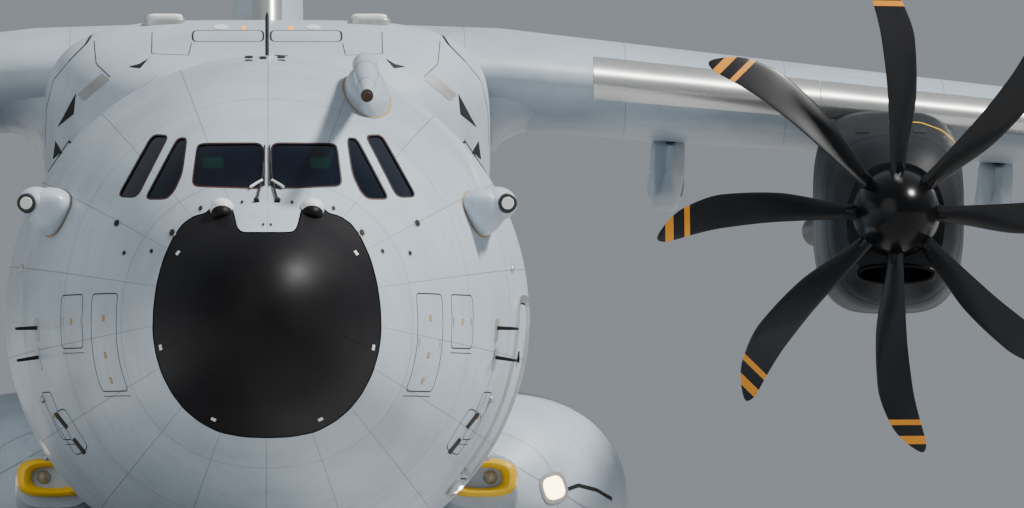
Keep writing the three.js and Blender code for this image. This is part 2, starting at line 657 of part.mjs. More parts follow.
function cargoRamp() {
  const { half, hub, pin, pinHalf } = RAMP_LUGS;
  let body = outer.intersect(prism(rampOutline(0), "x", ...across(RAMP.half)));
  body = body.add(rampRod(across(RAMP.tubeHalf), RAMP.tube));
  for (const x of RAMP_LUGS.x) {
    body = body.subtract(rampRod([x - half - RUNNING, x + half + RUNNING], hub + 2 * RUNNING));
    body = body.add(rampRod([x - pinHalf, x + pinHalf], pin, SHAFT_SIDES));
  }
  return largest(body);
}

add("cargo_ramp", cargoRamp(), "skin");

// The door's outline from above, grown all round by a gap, from below the hull up to its flanks.
function doorOutline(gap) {
  const { front, back, end, top } = CARGO_DOOR;
  const { tip, cornerZ, tipZ, lean } = RAMP;
  const start = tip + 2 * RUNNING - gap;
  const topLean = ((top - cornerZ) * lean) / (tipZ - cornerZ);
  return loft([[0, 0], [cornerZ, 0], [top, topLean]].map(([z, forward]) => [
    at(front + gap, start - forward, z), at(back + gap, end + gap, z),
    at(-back - gap, end + gap, z), at(-front - gap, start - forward, z),
  ]));
}

// The tail's shell, and a frame across it behind the door, with a lug for each of the door's arms.
function aftFuselage() {
  const { end, hingeZ } = CARGO_DOOR;
  const { half, hub, pin } = DOOR_LUGS;
  let body = between(outer, AFT_JOINT + SEAT, 42700).subtract(between(inner, 0, 41500));
  body = body.subtract(prism(rampOutline(RUNNING), "x", ...across(RAMP.half + RUNNING)));
  body = body.subtract(doorOutline(RUNNING)).subtract(rampRod(across(1500), RAMP.recess, 32));
  body = body.add(between(joined, end + 120, end + 220));
  for (const x of DOOR_LUGS.x) {
    const sides = [x - half, x + half];
    body = body.add(block(sides, [end, end + 130], [hingeZ - hub, hingeZ + hub]));
    body = body.add(doorRod(sides, hub)).subtract(doorRod(widened(sides, 1), boreFor(pin)));
  }
  return largest(body);
}

add("aft_fuselage", aftFuselage(), "skin");

// A rod along the cargo door's hinge between two values of x.
function doorRod([from, to], radius) {
  const { end, hingeZ } = CARGO_DOOR;
  return shaftRod(at(from, end, hingeZ), at(to, end, hingeZ), radius);
}

// The door's skin, and a pair of plates on each side of both lugs with a pin through them.
function cargoDoor() {
  const { end, hingeZ } = CARGO_DOOR;
  const { half, pin, pinHalf, plate: thick } = DOOR_LUGS;
  const outline = [
    [end - 1300, 3450], [end - 500, 3700], [end + 60, hingeZ - 60], [end + 60, hingeZ + 60],
    [end - 60, hingeZ + 60],
  ];
  const room = hull(WALL - 10);
  let body = outer.subtract(inner).intersect(doorOutline(0));
  for (const x of DOOR_LUGS.x) {
    for (const side of [-1, 1]) {
      const place = x + side * (half + RUNNING + thick);
      body = body.add(prism(outline, "x", place - thick, place + thick).intersect(room));
    }
    body = body.add(doorRod([x - pinHalf, x + pinHalf], pin));
  }
  return largest(body);
}

add("cargo_door", cargoDoor(), "skin");

// Wing
const wingSurface = {
  lead: (x) => at(x, WING.leStation + WING.leSlope * x, WING.leZ - WING.leDrop * Math.max(x, WING.kinkX)),
  chord: (x) => lerp(WING.rootChord, WING.tipChord, (x - WING.rootX) / (WING.tipX - WING.rootX)),
  thick: (x) => lerp(WING.rootThick, WING.tipThick, (x - WING.rootX) / (WING.tipX - WING.rootX)),
  camber: WING.camber,
  incidence: WING.incidence,
  side: new THREE.Vector3(0, 0, 1),
};
const wingPlaces = [WING.rootX, WING.kinkX, WING.tipX];
const wingClear = panel(wingSurface, [WING.rootX - SEAT, WING.kinkX, WING.tipX], SEAT);
const bothWings = wingClear.add(mirrored(wingClear));

// The line below the wing that both flaps of a side swing about.
function flapHinge() {
  const [from, to] = [FLAP_SPANS.inner[0], FLAP_SPANS.outer[1]].map((x) => {
    const point = onSurface(wingSurface, x, FLAP_HINGE, -1);
    point.z -= FLAP_DROP * wingSurface.chord(x);
    return point;
  });
  return hingeLine(from, to, wingSurface.side);
}

const ARM_BEND = 140; // how far behind its hinge an arm turns to point straight aft
// The side of an arm behind its bend: distance behind the hinge and height over it.
const ARM_BAR = (chord) => [
  [ARM_BEND, -80], [0.16 * chord, -80], [0.3 * chord, 0.085 * chord], [0.24 * chord, 0.1 * chord],
  [0.19 * chord, 0.06 * chord], [ARM_BEND, 80],
];

// How far along a hinge line a given x lies.
function alongAt(hinge, x) {
  return (x - hinge.from.x) / hinge.line.x;
}

// A fairing round one arm of a flap: the fixed front half with its two cheeks, and the tail,
// which moves with the flap.
function flapFairing(hinge, along, chord) {
  const ring = (aft, half, low, high) =>
    [[-0.7, 0], [-1, 0.3], [-1, 1], [1, 1], [1, 0.3], [0.7, 0]].map(([u, v]) =>
      hinge.point(along + aft * hinge.slant + u * half, aft, lerp(low, high, v)),
    );
  const { cheek, depth, hub } = ARM;
  const front = loft([
    ring(-0.24 * chord, 40, 0.02 * chord, 0.06 * chord),
    ring(-0.2 * chord, 110, -0.01 * chord, 0.07 * chord),
    ring(-0.13 * chord, cheek, -0.03 * chord, 0.08 * chord),
    ring(0, cheek, -depth, 0.08 * chord),
  ]);
  const cheeks = hingeRod(hinge, [along - cheek, along + cheek], hub);
  const rear = loft([
    ring(hub + 2 * RUNNING, 0.93 * cheek, -0.45 * depth, 0.045 * chord),
    ring(0.13 * chord, 0.9 * cheek, -0.7 * depth, 0.05 * chord),
    ring(0.21 * chord, 0.75 * cheek, -0.45 * depth, 0.062 * chord),
    ring(0.28 * chord, 0.6 * cheek, -0.1 * depth, 0.09 * chord),
    ring(0.43 * chord, 20, 0.055 * chord, 0.065 * chord),
  ]);
  return { front: front.add(cheeks), rear };
}

// One side's wing, its two flaps and its aileron.
function portWing() {
  const pieces = {};
  const whole = panel(wingSurface, wingPlaces);
  const hinge = flapHinge();
  let wing = whole.subtract(skinGap);
  for (const [place, span] of Object.entries(FLAP_SPANS)) {
    const ends = span.map((x) => alongAt(hinge, x));
    const wide = widened(ends, RUNNING);
    const arcs = ends.map((along) => FLAP_ARC * wingSurface.chord(hinge.point(along, 0, 0).x));
    const arc = (grow) => hingeRod(hinge, wide, arcs[0] + grow, arcs[1] + grow, 32);
    let flap = whole.intersect(plate(hinge, ends, BEHIND)).subtract(arc(RUNNING));
    wing = wing.subtract(plate(hinge, wide, BEHIND).subtract(arc(0)));
    for (const x of FLAP_ARMS[place]) {
      const along = alongAt(hinge, x);
      const chord = wingSurface.chord(x);
      const { thick, hub, pin } = ARM;
      const sides = [along - thick / 2, along + thick / 2];
      const slot = widened(sides, RUNNING);
      const fairing = flapFairing(hinge, along, chord);
      const root = plate(hinge, sides, [[-40, -80], [ARM_BEND + 5, -80], [ARM_BEND + 5, 80], [-40, 80]]);
      const bar = loft(sides.map((side) => ARM_BAR(chord).map(([aft, lift]) =>
        hinge.point(side + (aft - ARM_BEND) * hinge.slant, aft, lift))));
      const arm = root.add(bar);
      const swing = hub + RUNNING;
      wing = wing.add(fairing.front.subtract(skinAbove(x)));
      wing = wing.subtract(hingeRod(hinge, slot, swing)).subtract(
        plate(hinge, slot, [[0, -REACH], [REACH, -REACH], [REACH, SLOT_TOP * chord], [0, SLOT_TOP * chord]]),
      );
      const pins = widened(slot, -SEAT);
      flap = union([flap, arm, hingeRod(hinge, sides, hub - 10), fairing.rear, hingeRod(hinge, pins, pin)]);
    }
    pieces[`flap_${place}`] = largest(flap);
  }
  const aileron = middleHinge(wingSurface, AILERON_SPAN, AILERON_HINGE);
  const split = hinged(wing, aileron.hinge, aileron.span, aileron.radii);
  return { ...pieces, aileron: split.moving, wing: split.fixed };
}

// All that lies over the wing's lower skin round one place, so that a fairing stops inside it.
function skinAbove(x) {
  const [front, back] = [0.2, 0.9].map((share) => onSurface(wingSurface, x, share, 0.3));
  const corners = [[front, 0], [back, 0], [back, REACH], [front, REACH]];
  return prism(corners.map(([p, lift]) => [p.y + LENGTH / 2, p.z + lift]), "x", x - 800, x + 800);
}

for (const [name, body] of Object.entries(portWing())) {
  add(`${name}_left`, body, "skin");
  add(`${name}_right`, mirrored(body), "skin");
}

const fairingBody = loft(FAIRING.map((row) => ringAt(row, 0, POD_SIDES)));
add("wing_fairing", largest(fairingBody.subtract(skinGap).subtract(bothWings)), "skin");

// Engines: a nacelle under the wing and a propeller on its shaft. Seen from ahead the port inner
// propeller turns clockwise and its neighbour the other way, and the starboard pair mirrors them.
function moved(table, { x, station, z }) {
  return table.map((row) => ({
    ...row, x, station: row.station + station,
    top: row.top + z, bottom: row.bottom + z, middle: row.middle + z,
  }));
}

function nacelle(engine) {
  const { x, station, z } = engine;
  const end = station + PROPELLER.shaftEnd + RUNNING;
  const shaft = shaftRod(at(x, station, z), at(x, end, z), boreFor(PROPELLER.shaft));
  const intake = loft(moved(INTAKE, engine).map((row) => ringAt(row, 0, 10)));
  const body = loft(moved(NACELLE, engine).map((row) => ringAt(row, 0, POD_SIDES)));
  return largest(body.subtract(intake).subtract(shaft).subtract(bothWings));
}

function propeller({ x, station, z }, hand) {
  const { spinner, nose, back, blades, shaft, shaftEnd, bluntness } = PROPELLER;
  const steps = 4;
  const profile = [new THREE.Vector2(0, -back)];
  for (let i = 0; i < steps; i++) {
    const share = i / steps;
    profile.push(new THREE.Vector2(spinner * Math.sqrt(1 - share ** bluntness), lerp(-back, nose, share)));
  }
  profile.push(new THREE.Vector2(0, nose));
  const dome = new THREE.LatheGeometry(profile, 16);
  dome.rotateX(Math.PI);
  const axle = shaftRod(new THREE.Vector3(0, back - 5, 0), new THREE.Vector3(0, shaftEnd, 0), shaft);
  let body = solid(dome).add(axle);
  for (let i = 0; i < blades; i++) body = body.add(blade(hand).rotate([0, (360 * i) / blades, 0]));
  return body.translate(at(x, station, z).toArray());
}

// One blade, pointing up from the axis of a propeller that turns about Y.
function blade(hand) {
  const sides = 4;
  return loft(BLADE.map(({ out, chord, angle, sweep, thick }) => {
    const turn = THREE.MathUtils.degToRad(angle);
    const ring = [];
    for (let k = 0; k < sides; k++) {
      const u = (chord / 2) * Math.cos((2 * Math.PI * k) / sides);
      const v = (thick / 2) * Math.sin((2 * Math.PI * k) / sides);
      const sideways = sweep + u * Math.cos(turn) - v * Math.sin(turn);
      ring.push(new THREE.Vector3(hand * sideways, u * Math.sin(turn) + v * Math.cos(turn), out));
    }
    return ring;
  }));
}

for (const engine of ENGINES) {
  const body = nacelle(engine);
  const screw = propeller(engine, engine.place === "inner" ? 1 : -1);
  for (const [side, turned] of [["left", (b) => b], ["right", mirrored]]) {
    add(`nacelle_${engine.place}_${side}`, turned(body), "nacelle");
    add(`propeller_${engine.place}_${side}`, turned(screw), "bladeBlack");
  }
}

// Tail
const finSurface = {
  lead: (z) => at(0, FIN.leStation + FIN.leSlope * (z - FIN.rootZ), z),
  chord: (z) => lerp(FIN.rootChord, FIN.topChord, (z - FIN.rootZ) / (FIN.topZ - FIN.rootZ)),
  thick: (z) => lerp(FIN_THICK.root, FIN_THICK.top, (z - FIN.rootZ) / (FIN.topZ - FIN.rootZ)),
  camber: 0,
  incidence: 0,
  side: new THREE.Vector3(1, 0, 0),
};
const tailSurface = {
  lead: (x) => at(x, TAILPLANE.leStation + TAILPLANE.leSlope * Math.abs(x), TAILPLANE.z),
  chord: (x) => lerp(TAILPLANE.rootChord, TAILPLANE.tipChord, Math.abs(x) / TAILPLANE.span),
  thick: () => TAIL_THICK,
  camber: 0,
  incidence: 0,
  side: new THREE.Vector3(0, 0, 1),
};

const rudder = middleHinge(finSurface, RUDDER_SPAN, TAIL_HINGE);
const finSplit = hinged(
  panel(finSurface, [FIN.rootZ, FIN.topZ]).subtract(skinGap), rudder.hinge, rudder.span, rudder.radii,
);
const elevator = middleHinge(tailSurface, ELEVATOR_SPAN, TAIL_HINGE);
const halfTail = hinged(
  panel(tailSurface, [0, TAILPLANE.span]), elevator.hinge, elevator.span, elevator.radii,
);
const bullet = blob(at(0, BULLET.station, TAILPLANE.z - BULLET.drop), BULLET.radii, 12);
const tailplane = halfTail.fixed.add(mirrored(halfTail.fixed)).add(bullet);
const aboveFin = panel(finSurface, [FIN.rootZ, FIN.topZ], SEAT);
add("tailplane", largest(tailplane.subtract(aboveFin)), "skin");
add("fin", finSplit.fixed, "skin");
add("rudder", finSplit.moving, "skin");
add("elevator_left", halfTail.moving, "skin");
add("elevator_right", mirrored(halfTail.moving), "skin");

// Refuelling probe, on a long base over the flight deck
function probe() {
  const { x, tip, tail, radius, tipRadius } = PROBE;
  const tube = rod(at(x, ...tail), at(x, ...tip), radius, tipRadius, 12);
  const base = blob(at(x, PROBE_BASE.station, PROBE_BASE.z), PROBE_BASE.radii, 12);
  const end = blob(at(x, ...tail), [radius, PROBE_BASE.tailRadius, radius], 10);
  return largest(tube.add(base).add(end).subtract(skinGap));
}

add("refuelling_probe", probe(), "skin");

// Landing gear
const bay = MAIN_BAY;
const wheelWell = block(bay.x, bay.station, [-100, bay.ceiling]);
const sponsonBody = loft(SPONSON.map((row) => ringAt(row, 0, POD_SIDES)));
const sponson = largest(sponsonBody.subtract(wheelWell).subtract(skinGap));
add("sponson_left", sponson, "skin");
add("sponson_right", mirrored(sponson), "skin");

function mainLegs() {
  const { x, radius } = MAIN_WHEEL;
  const top = bay.ceiling - SEAT;
  const beam = [MAIN_AXLES[0] - 650, MAIN_AXLES[2] + 250];
  const bodies = [block([x - 150, x + 150], beam, [top - 110, top])];
  for (const axle of MAIN_AXLES) {
    bodies.push(rod(at(x, axle - 30, top - 80), at(x, axle, radius), 95));
    bodies.push(rod(at(x, axle - 560, top - 80), at(x, axle - 40, radius + 60), 55));
    bodies.push(rod(at(x - 150, axle, radius), at(x + 150, axle, radius), 130));
  }
  let legs = union(bodies);
  for (const axle of MAIN_AXLES)
    legs = legs.subtract(shaftRod(at(x - 200, axle, radius), at(x + 200, axle, radius), boreFor(AXLE)));
  return legs;
}

const legs = mainLegs();
add("main_legs_left", legs, "leg");
add("main_legs_right", mirrored(legs), "leg");

// Twin wheels on one axle.
function wheelPair({ radius, width, apart }, x, station) {
  const half = width / 2;
  const profile = [
    [0, -half * 0.62], [radius * 0.6, -half * 0.62], [radius * 0.7, -half], [radius, -half * 0.6],
    [radius, half * 0.6], [radius * 0.7, half], [radius * 0.6, half * 0.62], [0, half * 0.62],
  ].map(([out, along]) => new THREE.Vector2(out, along));
  const tyre = new THREE.LatheGeometry(profile, WHEEL_SIDES);
  tyre.rotateZ(Math.PI / 2);
  const wheel = solid(tyre);
  const [near, far] = [-1, 1].map((side) => at(x + (side * apart) / 2, station, radius));
  return wheel.translate(near.toArray()).add(wheel.translate(far.toArray())).add(shaftRod(near, far, AXLE));
}

["front", "middle", "rear"].forEach((place, i) => {
  const pair = wheelPair(MAIN_WHEEL, MAIN_WHEEL.x, MAIN_AXLES[i]);
  add(`main_wheels_${place}_left`, pair, "tyre");
  add(`main_wheels_${place}_right`, mirrored(pair), "tyre");
});

// The nose leg is fixed in its bay; the fork below it steers and carries the wheels.
function noseGear() {
  const { station, radius } = NOSE_WHEEL;
  const top = NOSE_BAY.ceiling - SEAT;
  const joint = 960;
  const leg = union([
    rod(at(0, station, top), at(0, station, joint), 120),
    block(across(300), [station - 170, station + 170], [top - 70, top]),
    rod(at(0, station + 780, top - 75), at(0, station + 90, joint + 60), 50),
    block(across(200), [station + 700, station + 860], [top - 60, top]),
  ]);
  const fork = union([
    rod(at(0, station, joint - SEAT), at(0, station, radius), 90),
    rod(at(-120, station, radius), at(120, station, radius), 130),
    rod(at(0, station, joint - SEAT), at(0, station, joint - 90), 150),
  ]).subtract(shaftRod(at(-200, station, radius), at(200, station, radius), boreFor(AXLE)));
  return { leg, fork, wheels: wheelPair(NOSE_WHEEL, 0, station) };
}

const nose = noseGear();
add("nose_leg", nose.leg, "leg");
add("nose_fork", nose.fork, "leg");
add("nose_wheels", nose.wheels, "tyre");

export default aeroplane;
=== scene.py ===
"""A parked four-turboprop military transport aeroplane at 1:2 scale.

Every size below is the full-size aeroplane's, in metres, and SCALE turns it into the model's.
The nose points along -Y, port is +X, up is +Z, and the ground is z = 0.  A station is a distance
aft of the nose tip.
"""

import logging
import math
from dataclasses import dataclass, field
from enum import Enum
from functools import cached_property

import bpy
import numpy as np
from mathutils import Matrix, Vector


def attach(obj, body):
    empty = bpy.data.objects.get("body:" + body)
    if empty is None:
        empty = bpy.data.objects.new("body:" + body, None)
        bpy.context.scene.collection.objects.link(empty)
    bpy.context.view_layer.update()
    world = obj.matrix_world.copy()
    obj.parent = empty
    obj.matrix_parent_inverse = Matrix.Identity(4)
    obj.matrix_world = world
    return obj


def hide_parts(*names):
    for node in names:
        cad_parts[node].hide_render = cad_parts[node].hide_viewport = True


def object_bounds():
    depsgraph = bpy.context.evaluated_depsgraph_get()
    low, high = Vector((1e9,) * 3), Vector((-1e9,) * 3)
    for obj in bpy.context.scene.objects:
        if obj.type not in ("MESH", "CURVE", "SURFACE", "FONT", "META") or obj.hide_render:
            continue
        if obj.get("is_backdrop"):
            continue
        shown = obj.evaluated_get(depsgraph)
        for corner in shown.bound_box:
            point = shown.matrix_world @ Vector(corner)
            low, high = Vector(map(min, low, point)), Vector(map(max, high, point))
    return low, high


logging.basicConfig(level=logging.INFO, format="%(message)s")
LOG = logging.getLogger("aeroplane")

SCALE = 0.5
LENGTH = 45.1
ROOT = "airframe"
PHOTO_SIZE = (1024, 508)
TINY = 1e-12
AFT = np.array([0.0, 1.0, 0.0])
PORT = np.array([1.0, 0.0, 0.0])
UP = np.array([0.0, 0.0, 1.0])
ORIGIN = np.zeros(3)
Span = tuple[float, float]
Spot = tuple[float, float, float]

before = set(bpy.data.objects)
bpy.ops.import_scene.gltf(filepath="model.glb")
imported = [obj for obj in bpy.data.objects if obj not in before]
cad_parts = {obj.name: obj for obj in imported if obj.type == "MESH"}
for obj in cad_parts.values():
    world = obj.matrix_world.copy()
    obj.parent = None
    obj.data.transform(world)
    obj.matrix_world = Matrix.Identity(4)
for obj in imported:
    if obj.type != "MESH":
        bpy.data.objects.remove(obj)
CAD_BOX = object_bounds()


def place(x: np.ndarray, station: np.ndarray, z: np.ndarray) -> np.ndarray:
    """Model points, one a row, from full-size x, station and height."""
    x, station, z = np.broadcast_arrays(np.asarray(x, float), station, z)
    return np.stack([x, station - LENGTH / 2, z], axis=-1) * SCALE


def full(points: np.ndarray) -> np.ndarray:
    """Full-size x, station and height of model points: place the other way."""
    return points / SCALE + [0, LENGTH / 2, 0]


def turns(count: int) -> np.ndarray:
    """Angles once round, evenly spaced, without the last that meets the first."""
    return np.linspace(0, 2 * np.pi, count, endpoint=False)


def bent(value: np.ndarray, power: float) -> np.ndarray:
    """A sine or cosine as a superellipse of a power has it."""
    return np.sign(value) * np.abs(value) ** (2 / power)


def unit(vectors: np.ndarray) -> np.ndarray:
    """The same directions with a length of 1."""
    return vectors / np.maximum(np.linalg.norm(vectors, axis=-1, keepdims=True), TINY)


def basis(way: np.ndarray) -> tuple[np.ndarray, np.ndarray, np.ndarray]:
    """A unit direction and two more square to it."""
    way = unit(np.asarray(way, float))
    u = unit(np.cross(way, np.eye(3)[np.argmin(np.abs(way))]))
    return way, u, np.cross(way, u)


def ring(way: np.ndarray, sides: int) -> np.ndarray:
    """A circle of radius 1 square to a direction."""
    _, u, v = basis(way)
    turn = turns(sides)[:, None]
    return np.cos(turn) * u + np.sin(turn) * v


class Side(Enum):
    """Which side of the aeroplane a piece is on; the value is the sign of its x."""

    LEFT = 1
    RIGHT = -1

    @property
    def word(self) -> str:
        """The side as it stands in the names of the frame's nodes."""
        return self.name.lower()


BOTH = (Side.LEFT, Side.RIGHT)


class Table:
    """Columns of numbers against a station, each a monotone cubic that never overshoots a row."""

    def __init__(self, columns: str, rows: tuple[tuple[float, ...], ...]) -> None:
        """Keep the rows as one array a column.

        Args:
            columns: the names of the columns after the station, with blanks between them.
            rows: the station and the columns' values, from the nose aft.
        """
        data = np.array(rows, float)
        self.stations = data[:, 0]
        self.columns = {name: data[:, i + 1] for i, name in enumerate(columns.split())}

    def value(self, name: str, station: np.ndarray) -> np.ndarray:
        """One column at any stations, by cubic Hermite curves; held constant past the ends."""
        x, y = self.stations, self.columns[name]
        s = np.clip(np.asarray(station, float), x[0], x[-1])
        h, slope = np.diff(x), np.diff(y) / np.diff(x)
        tangent = np.empty_like(y)
        tangent[0], tangent[-1] = slope[0], slope[-1]
        w0, w1 = 2 * h[1:] + h[:-1], h[1:] + 2 * h[:-1]
        same = slope[:-1] * slope[1:] > 0
        safe = np.where(same, slope[:-1], 1.0), np.where(same, slope[1:], 1.0)
        tangent[1:-1] = np.where(same, (w0 + w1) / (w0 / safe[0] + w1 / safe[1]), 0.0)
        i = np.clip(np.searchsorted(x, s, side="right") - 1, 0, len(x) - 2)
        t = (s - x[i]) / h[i]
        t2, t3 = t * t, t * t * t
        start = y[i] * (2 * t3 - 3 * t2 + 1) + tangent[i] * h[i] * (t3 - 2 * t2 + t)
        return start + y[i + 1] * (3 * t2 - 2 * t3) + tangent[i + 1] * h[i] * (t3 - t2)


class Pod:
    """A body of superellipse sections along the aeroplane, with its own heights above and below."""

    def __init__(self, rows: tuple, x: float = 0.0, station: float = 0.0, z: float = 0.0) -> None:
        """Place a body.

        Args:
            rows: station, half width, top, bottom, middle height and power of each section.
            x: how far to port the rows' x = 0 lies.
            station: how far aft their station 0 lies.
            z: how high their height 0 lies.
        """
        words = "half top bottom middle power"
        self.table = Table(words if len(rows[0]) == 6 else "x " + words, rows)
        self.x, self.station, self.z = x, station, z

    def sizes(self, station: np.ndarray) -> tuple[np.ndarray, ...]:
        """Middle x, half width, top, bottom, middle height and power at full-size stations."""
        s = np.asarray(station, float) - self.station
        x = self.table.value("x", s) if "x" in self.table.columns else np.zeros_like(s)
        got = [self.table.value(name, s) for name in ("half", "top", "bottom", "middle", "power")]
        return x + self.x, got[0], got[1] + self.z, got[2] + self.z, got[3] + self.z, got[4]

    def points(self, turn: np.ndarray, station: np.ndarray, inset: float = 0.0) -> np.ndarray:
        """Surface points: x and z follow cosine and sine of the turn raised to 2 over the power.

        Args:
            turn: angle round the section, from port over the top, in radians.
            station: full-size station, of the same shape or one that broadcasts.
            inset: how far inside the surface, in full-size metres.
        """
        turn, station = np.broadcast_arrays(np.asarray(turn, float), station)
        x, half, top, bottom, middle, power = self.sizes(station)
        up = bent(np.sin(turn), power)
        reach = np.where(up > 0, top - middle, middle - bottom)
        return place(x + (half - inset) * bent(np.cos(turn), power), station, middle + (reach - inset) * up)

    def level(self, points: np.ndarray) -> np.ndarray:
        """The section's own equation at model points: under 1 inside, 1 on the surface."""
        at = full(points)
        x, half, top, bottom, middle, power = self.sizes(at[..., 1])
        rise = at[..., 2] - middle
        reach = np.where(rise > 0, top - middle, middle - bottom)
        across = np.abs((at[..., 0] - x) / np.maximum(half, 1e-6)) ** power
        return across + np.abs(rise / np.maximum(reach, 1e-6)) ** power

    def normals(self, points: np.ndarray) -> np.ndarray:
        """Outward normals at model points: the gradient of the section's equation, by differences."""
        steps = np.eye(3) * 2e-4
        return unit(np.stack([self.level(points + s) - self.level(points - s) for s in steps], axis=-1))

    def side_point(self, station: np.ndarray, z: np.ndarray, sign: int = 1) -> np.ndarray:
        """Model points on the flank at full-size stations and heights."""
        x, half, top, bottom, middle, power = self.sizes(station)
        reach = np.where(z > middle, top - middle, middle - bottom)
        share = np.clip(1 - np.abs((z - middle) / reach) ** power, 0, None) ** (1 / power)
        return place(x + sign * half * share, station, z)

    def half_at(self, station: float, z: float) -> float:
        """The half width at a station and height, full size."""
        return float(self.side_point(station, z)[0] / SCALE)

    def mesh(self, stations: np.ndarray, sides: int, inset: float = 0.0) -> "Solid":
        """The body as one closed mesh: a grid of turn by station with a fan at each end."""
        return Solid.through(self.points(turns(sides)[None, :], np.asarray(stations, float)[:, None], inset))


def grid_cells(rows: int, columns: int, wrap: bool) -> np.ndarray:
    """Four-cornered faces of a grid whose columns close into a ring, and its rows too where they wrap."""
    i, j = np.meshgrid(np.arange(rows if wrap else rows - 1), np.arange(columns), indexing="ij")
    down, over = (i + 1) % rows * columns, (j + 1) % columns
    return np.stack([i * columns + j, i * columns + over, down + over, down + j], axis=-1).reshape(-1, 4)


@dataclass
class Solid:
    """A mesh as arrays: model points, four-cornered faces and three-cornered faces."""

    points: np.ndarray
    quads: np.ndarray = field(default_factory=lambda: np.empty((0, 4), int))
    tris: np.ndarray = field(default_factory=lambda: np.empty((0, 3), int))

    @staticmethod
    def through(rings: np.ndarray) -> "Solid":
        """A closed body through rings of points, by rings by points by 3, with a fan over each end."""
        rings = np.asarray(rings)
        count, sides = rings.shape[:2]
        k = np.arange(sides)
        first, end = count * sides, (count - 1) * sides
        near = np.stack([np.full(sides, first), (k + 1) % sides, k], axis=-1)
        far = np.stack([np.full(sides, first + 1), end + k, end + (k + 1) % sides], axis=-1)
        points = np.vstack([rings.reshape(-1, 3), rings[0].mean(axis=0), rings[-1].mean(axis=0)])
        return Solid(points, grid_cells(count, sides, False), np.vstack([near, far])).outward()

    @staticmethod
    def hoop(rings: np.ndarray) -> "Solid":
        """A closed ring-shaped body, whose last ring of points joins its first."""
        rings = np.asarray(rings)
        return Solid(rings.reshape(-1, 3), grid_cells(*rings.shape[:2], True)).outward()

    @staticmethod
    def sheet(grid: np.ndarray, thick: float, around: bool = False) -> "Solid":
        """A thin closed sheet: a grid of points and the same grid moved along its own normals.

        Args:
            grid: rows by columns by 3, in model metres.
            thick: how far the second layer stands off, in model metres.
            around: True where the columns close into a ring.
        """
        down, over = np.gradient(grid, axis=0), np.gradient(grid, axis=1)
        if around:
            over = np.roll(grid, -1, axis=1) - np.roll(grid, 1, axis=1)
        other = grid + unit(np.cross(down, over)) * thick
        rows, cols = grid.shape[:2]
        index = np.arange(rows * cols).reshape(rows, cols)
        i, j = np.meshgrid(np.arange(rows - 1), np.arange(cols if around else cols - 1), indexing="ij")
        k = (j + 1) % cols
        corners = [index[i, j], index[i, k], index[i + 1, k], index[i + 1, j]]
        cells = [np.stack(corners, axis=-1).reshape(-1, 4)]
        cells.append(cells[0][:, ::-1] + rows * cols)
        edges = [(index[0], False), (index[-1], True)]
        if not around:
            edges += [(index[:, 0], True), (index[:, -1], False)]
        for edge, flip in edges:
            loop = np.append(edge, edge[0]) if around else edge
            a, b = loop[:-1], loop[1:]
            wall = np.stack([b, a, a + rows * cols, b + rows * cols], axis=-1)
            cells.append(wall[:, ::-1] if flip else wall)
        return Solid(np.vstack([grid.reshape(-1, 3), other.reshape(-1, 3)]), np.vstack(cells)).outward()

    @staticmethod
    def prism(outline: np.ndarray, axis: int, ends: Span) -> "Solid":
        """A prism in full-size metres.

        Args:
            outline: pairs of the two coordinates other than the axis's, in x, station, z order.
            axis: 0 along x, 1 along the stations, 2 upwards.
            ends: where it starts and ends along the axis.
        """
        outline = np.asarray(outline, float)
        return Solid.through([place(*np.insert(outline, axis, level, axis=1).T) for level in ends])

    @staticmethod
    def box(x: Span, station: Span, z: Span) -> "Solid":
        """A box between two x, two stations and two heights, full size."""
        return Solid.prism([(x[i], station[j]) for i, j in ((0, 0), (1, 0), (1, 1), (0, 1))], 2, z)

    @staticmethod
    def lathe(profile: np.ndarray, start: np.ndarray, way: np.ndarray, sides: int = 48) -> "Solid":
        """A body turned round an axis.

        Args:
            profile: pairs of distance along the axis and radius, in model metres, from end to end.
            start: the model point where the distance is 0.
            way: the axis's direction.
            sides: how many faces round it.
        """
        profile = np.asarray(profile, float)
        return Solid.through(
            start + profile[:, :1, None] * basis(way)[0] + profile[:, 1:, None] * ring(way, sides))

    @staticmethod
    def tube(path: np.ndarray, radius: np.ndarray | float, sides: int = 16) -> "Solid":
        """A tube along model points: a circle square to the path at each, of one radius or one for each."""
        path = np.asarray(path, float)
        along = unit(np.gradient(path, axis=0))
        u = unit(np.cross(along, np.eye(3)[np.argmin(np.abs(along.mean(axis=0)))]))
        turn = turns(sides)[None, :, None]
        size = np.broadcast_to(np.asarray(radius, float), len(path))[:, None, None]
        circle = np.cos(turn) * u[:, None] + np.sin(turn) * np.cross(along, u)[:, None]
        return Solid.through(path[:, None] + size * circle)

    @staticmethod
    def joined(parts: list["Solid"]) -> "Solid":
        """Several solids as one mesh, without merging them."""
        base = np.cumsum([0] + [len(part.points) for part in parts])
        return Solid(np.vstack([part.points for part in parts]),
                     np.vstack([part.quads + b for part, b in zip(parts, base)]),
                     np.vstack([part.tris + b for part, b in zip(parts, base)]))

    def outward(self) -> "Solid":
        """The same solid with its faces turned out, told by the sign of its volume."""
        corner = self.points[np.vstack([self.quads[:, [0, 1, 2]], self.quads[:, [0, 2, 3]], self.tris])]
        volume = np.einsum("ij,ij->i", corner[:, 0], np.cross(corner[:, 1], corner[:, 2])).sum()
        return self if volume >= 0 else Solid(self.points, self.quads[:, ::-1], self.tris[:, ::-1])

    def on(self, side: Side) -> "Solid":
        """The solid itself on the left, its mirror image on the right."""
        if side is Side.LEFT:
            return self
        return Solid(self.points * [-1, 1, 1], self.quads[:, ::-1], self.tris[:, ::-1])

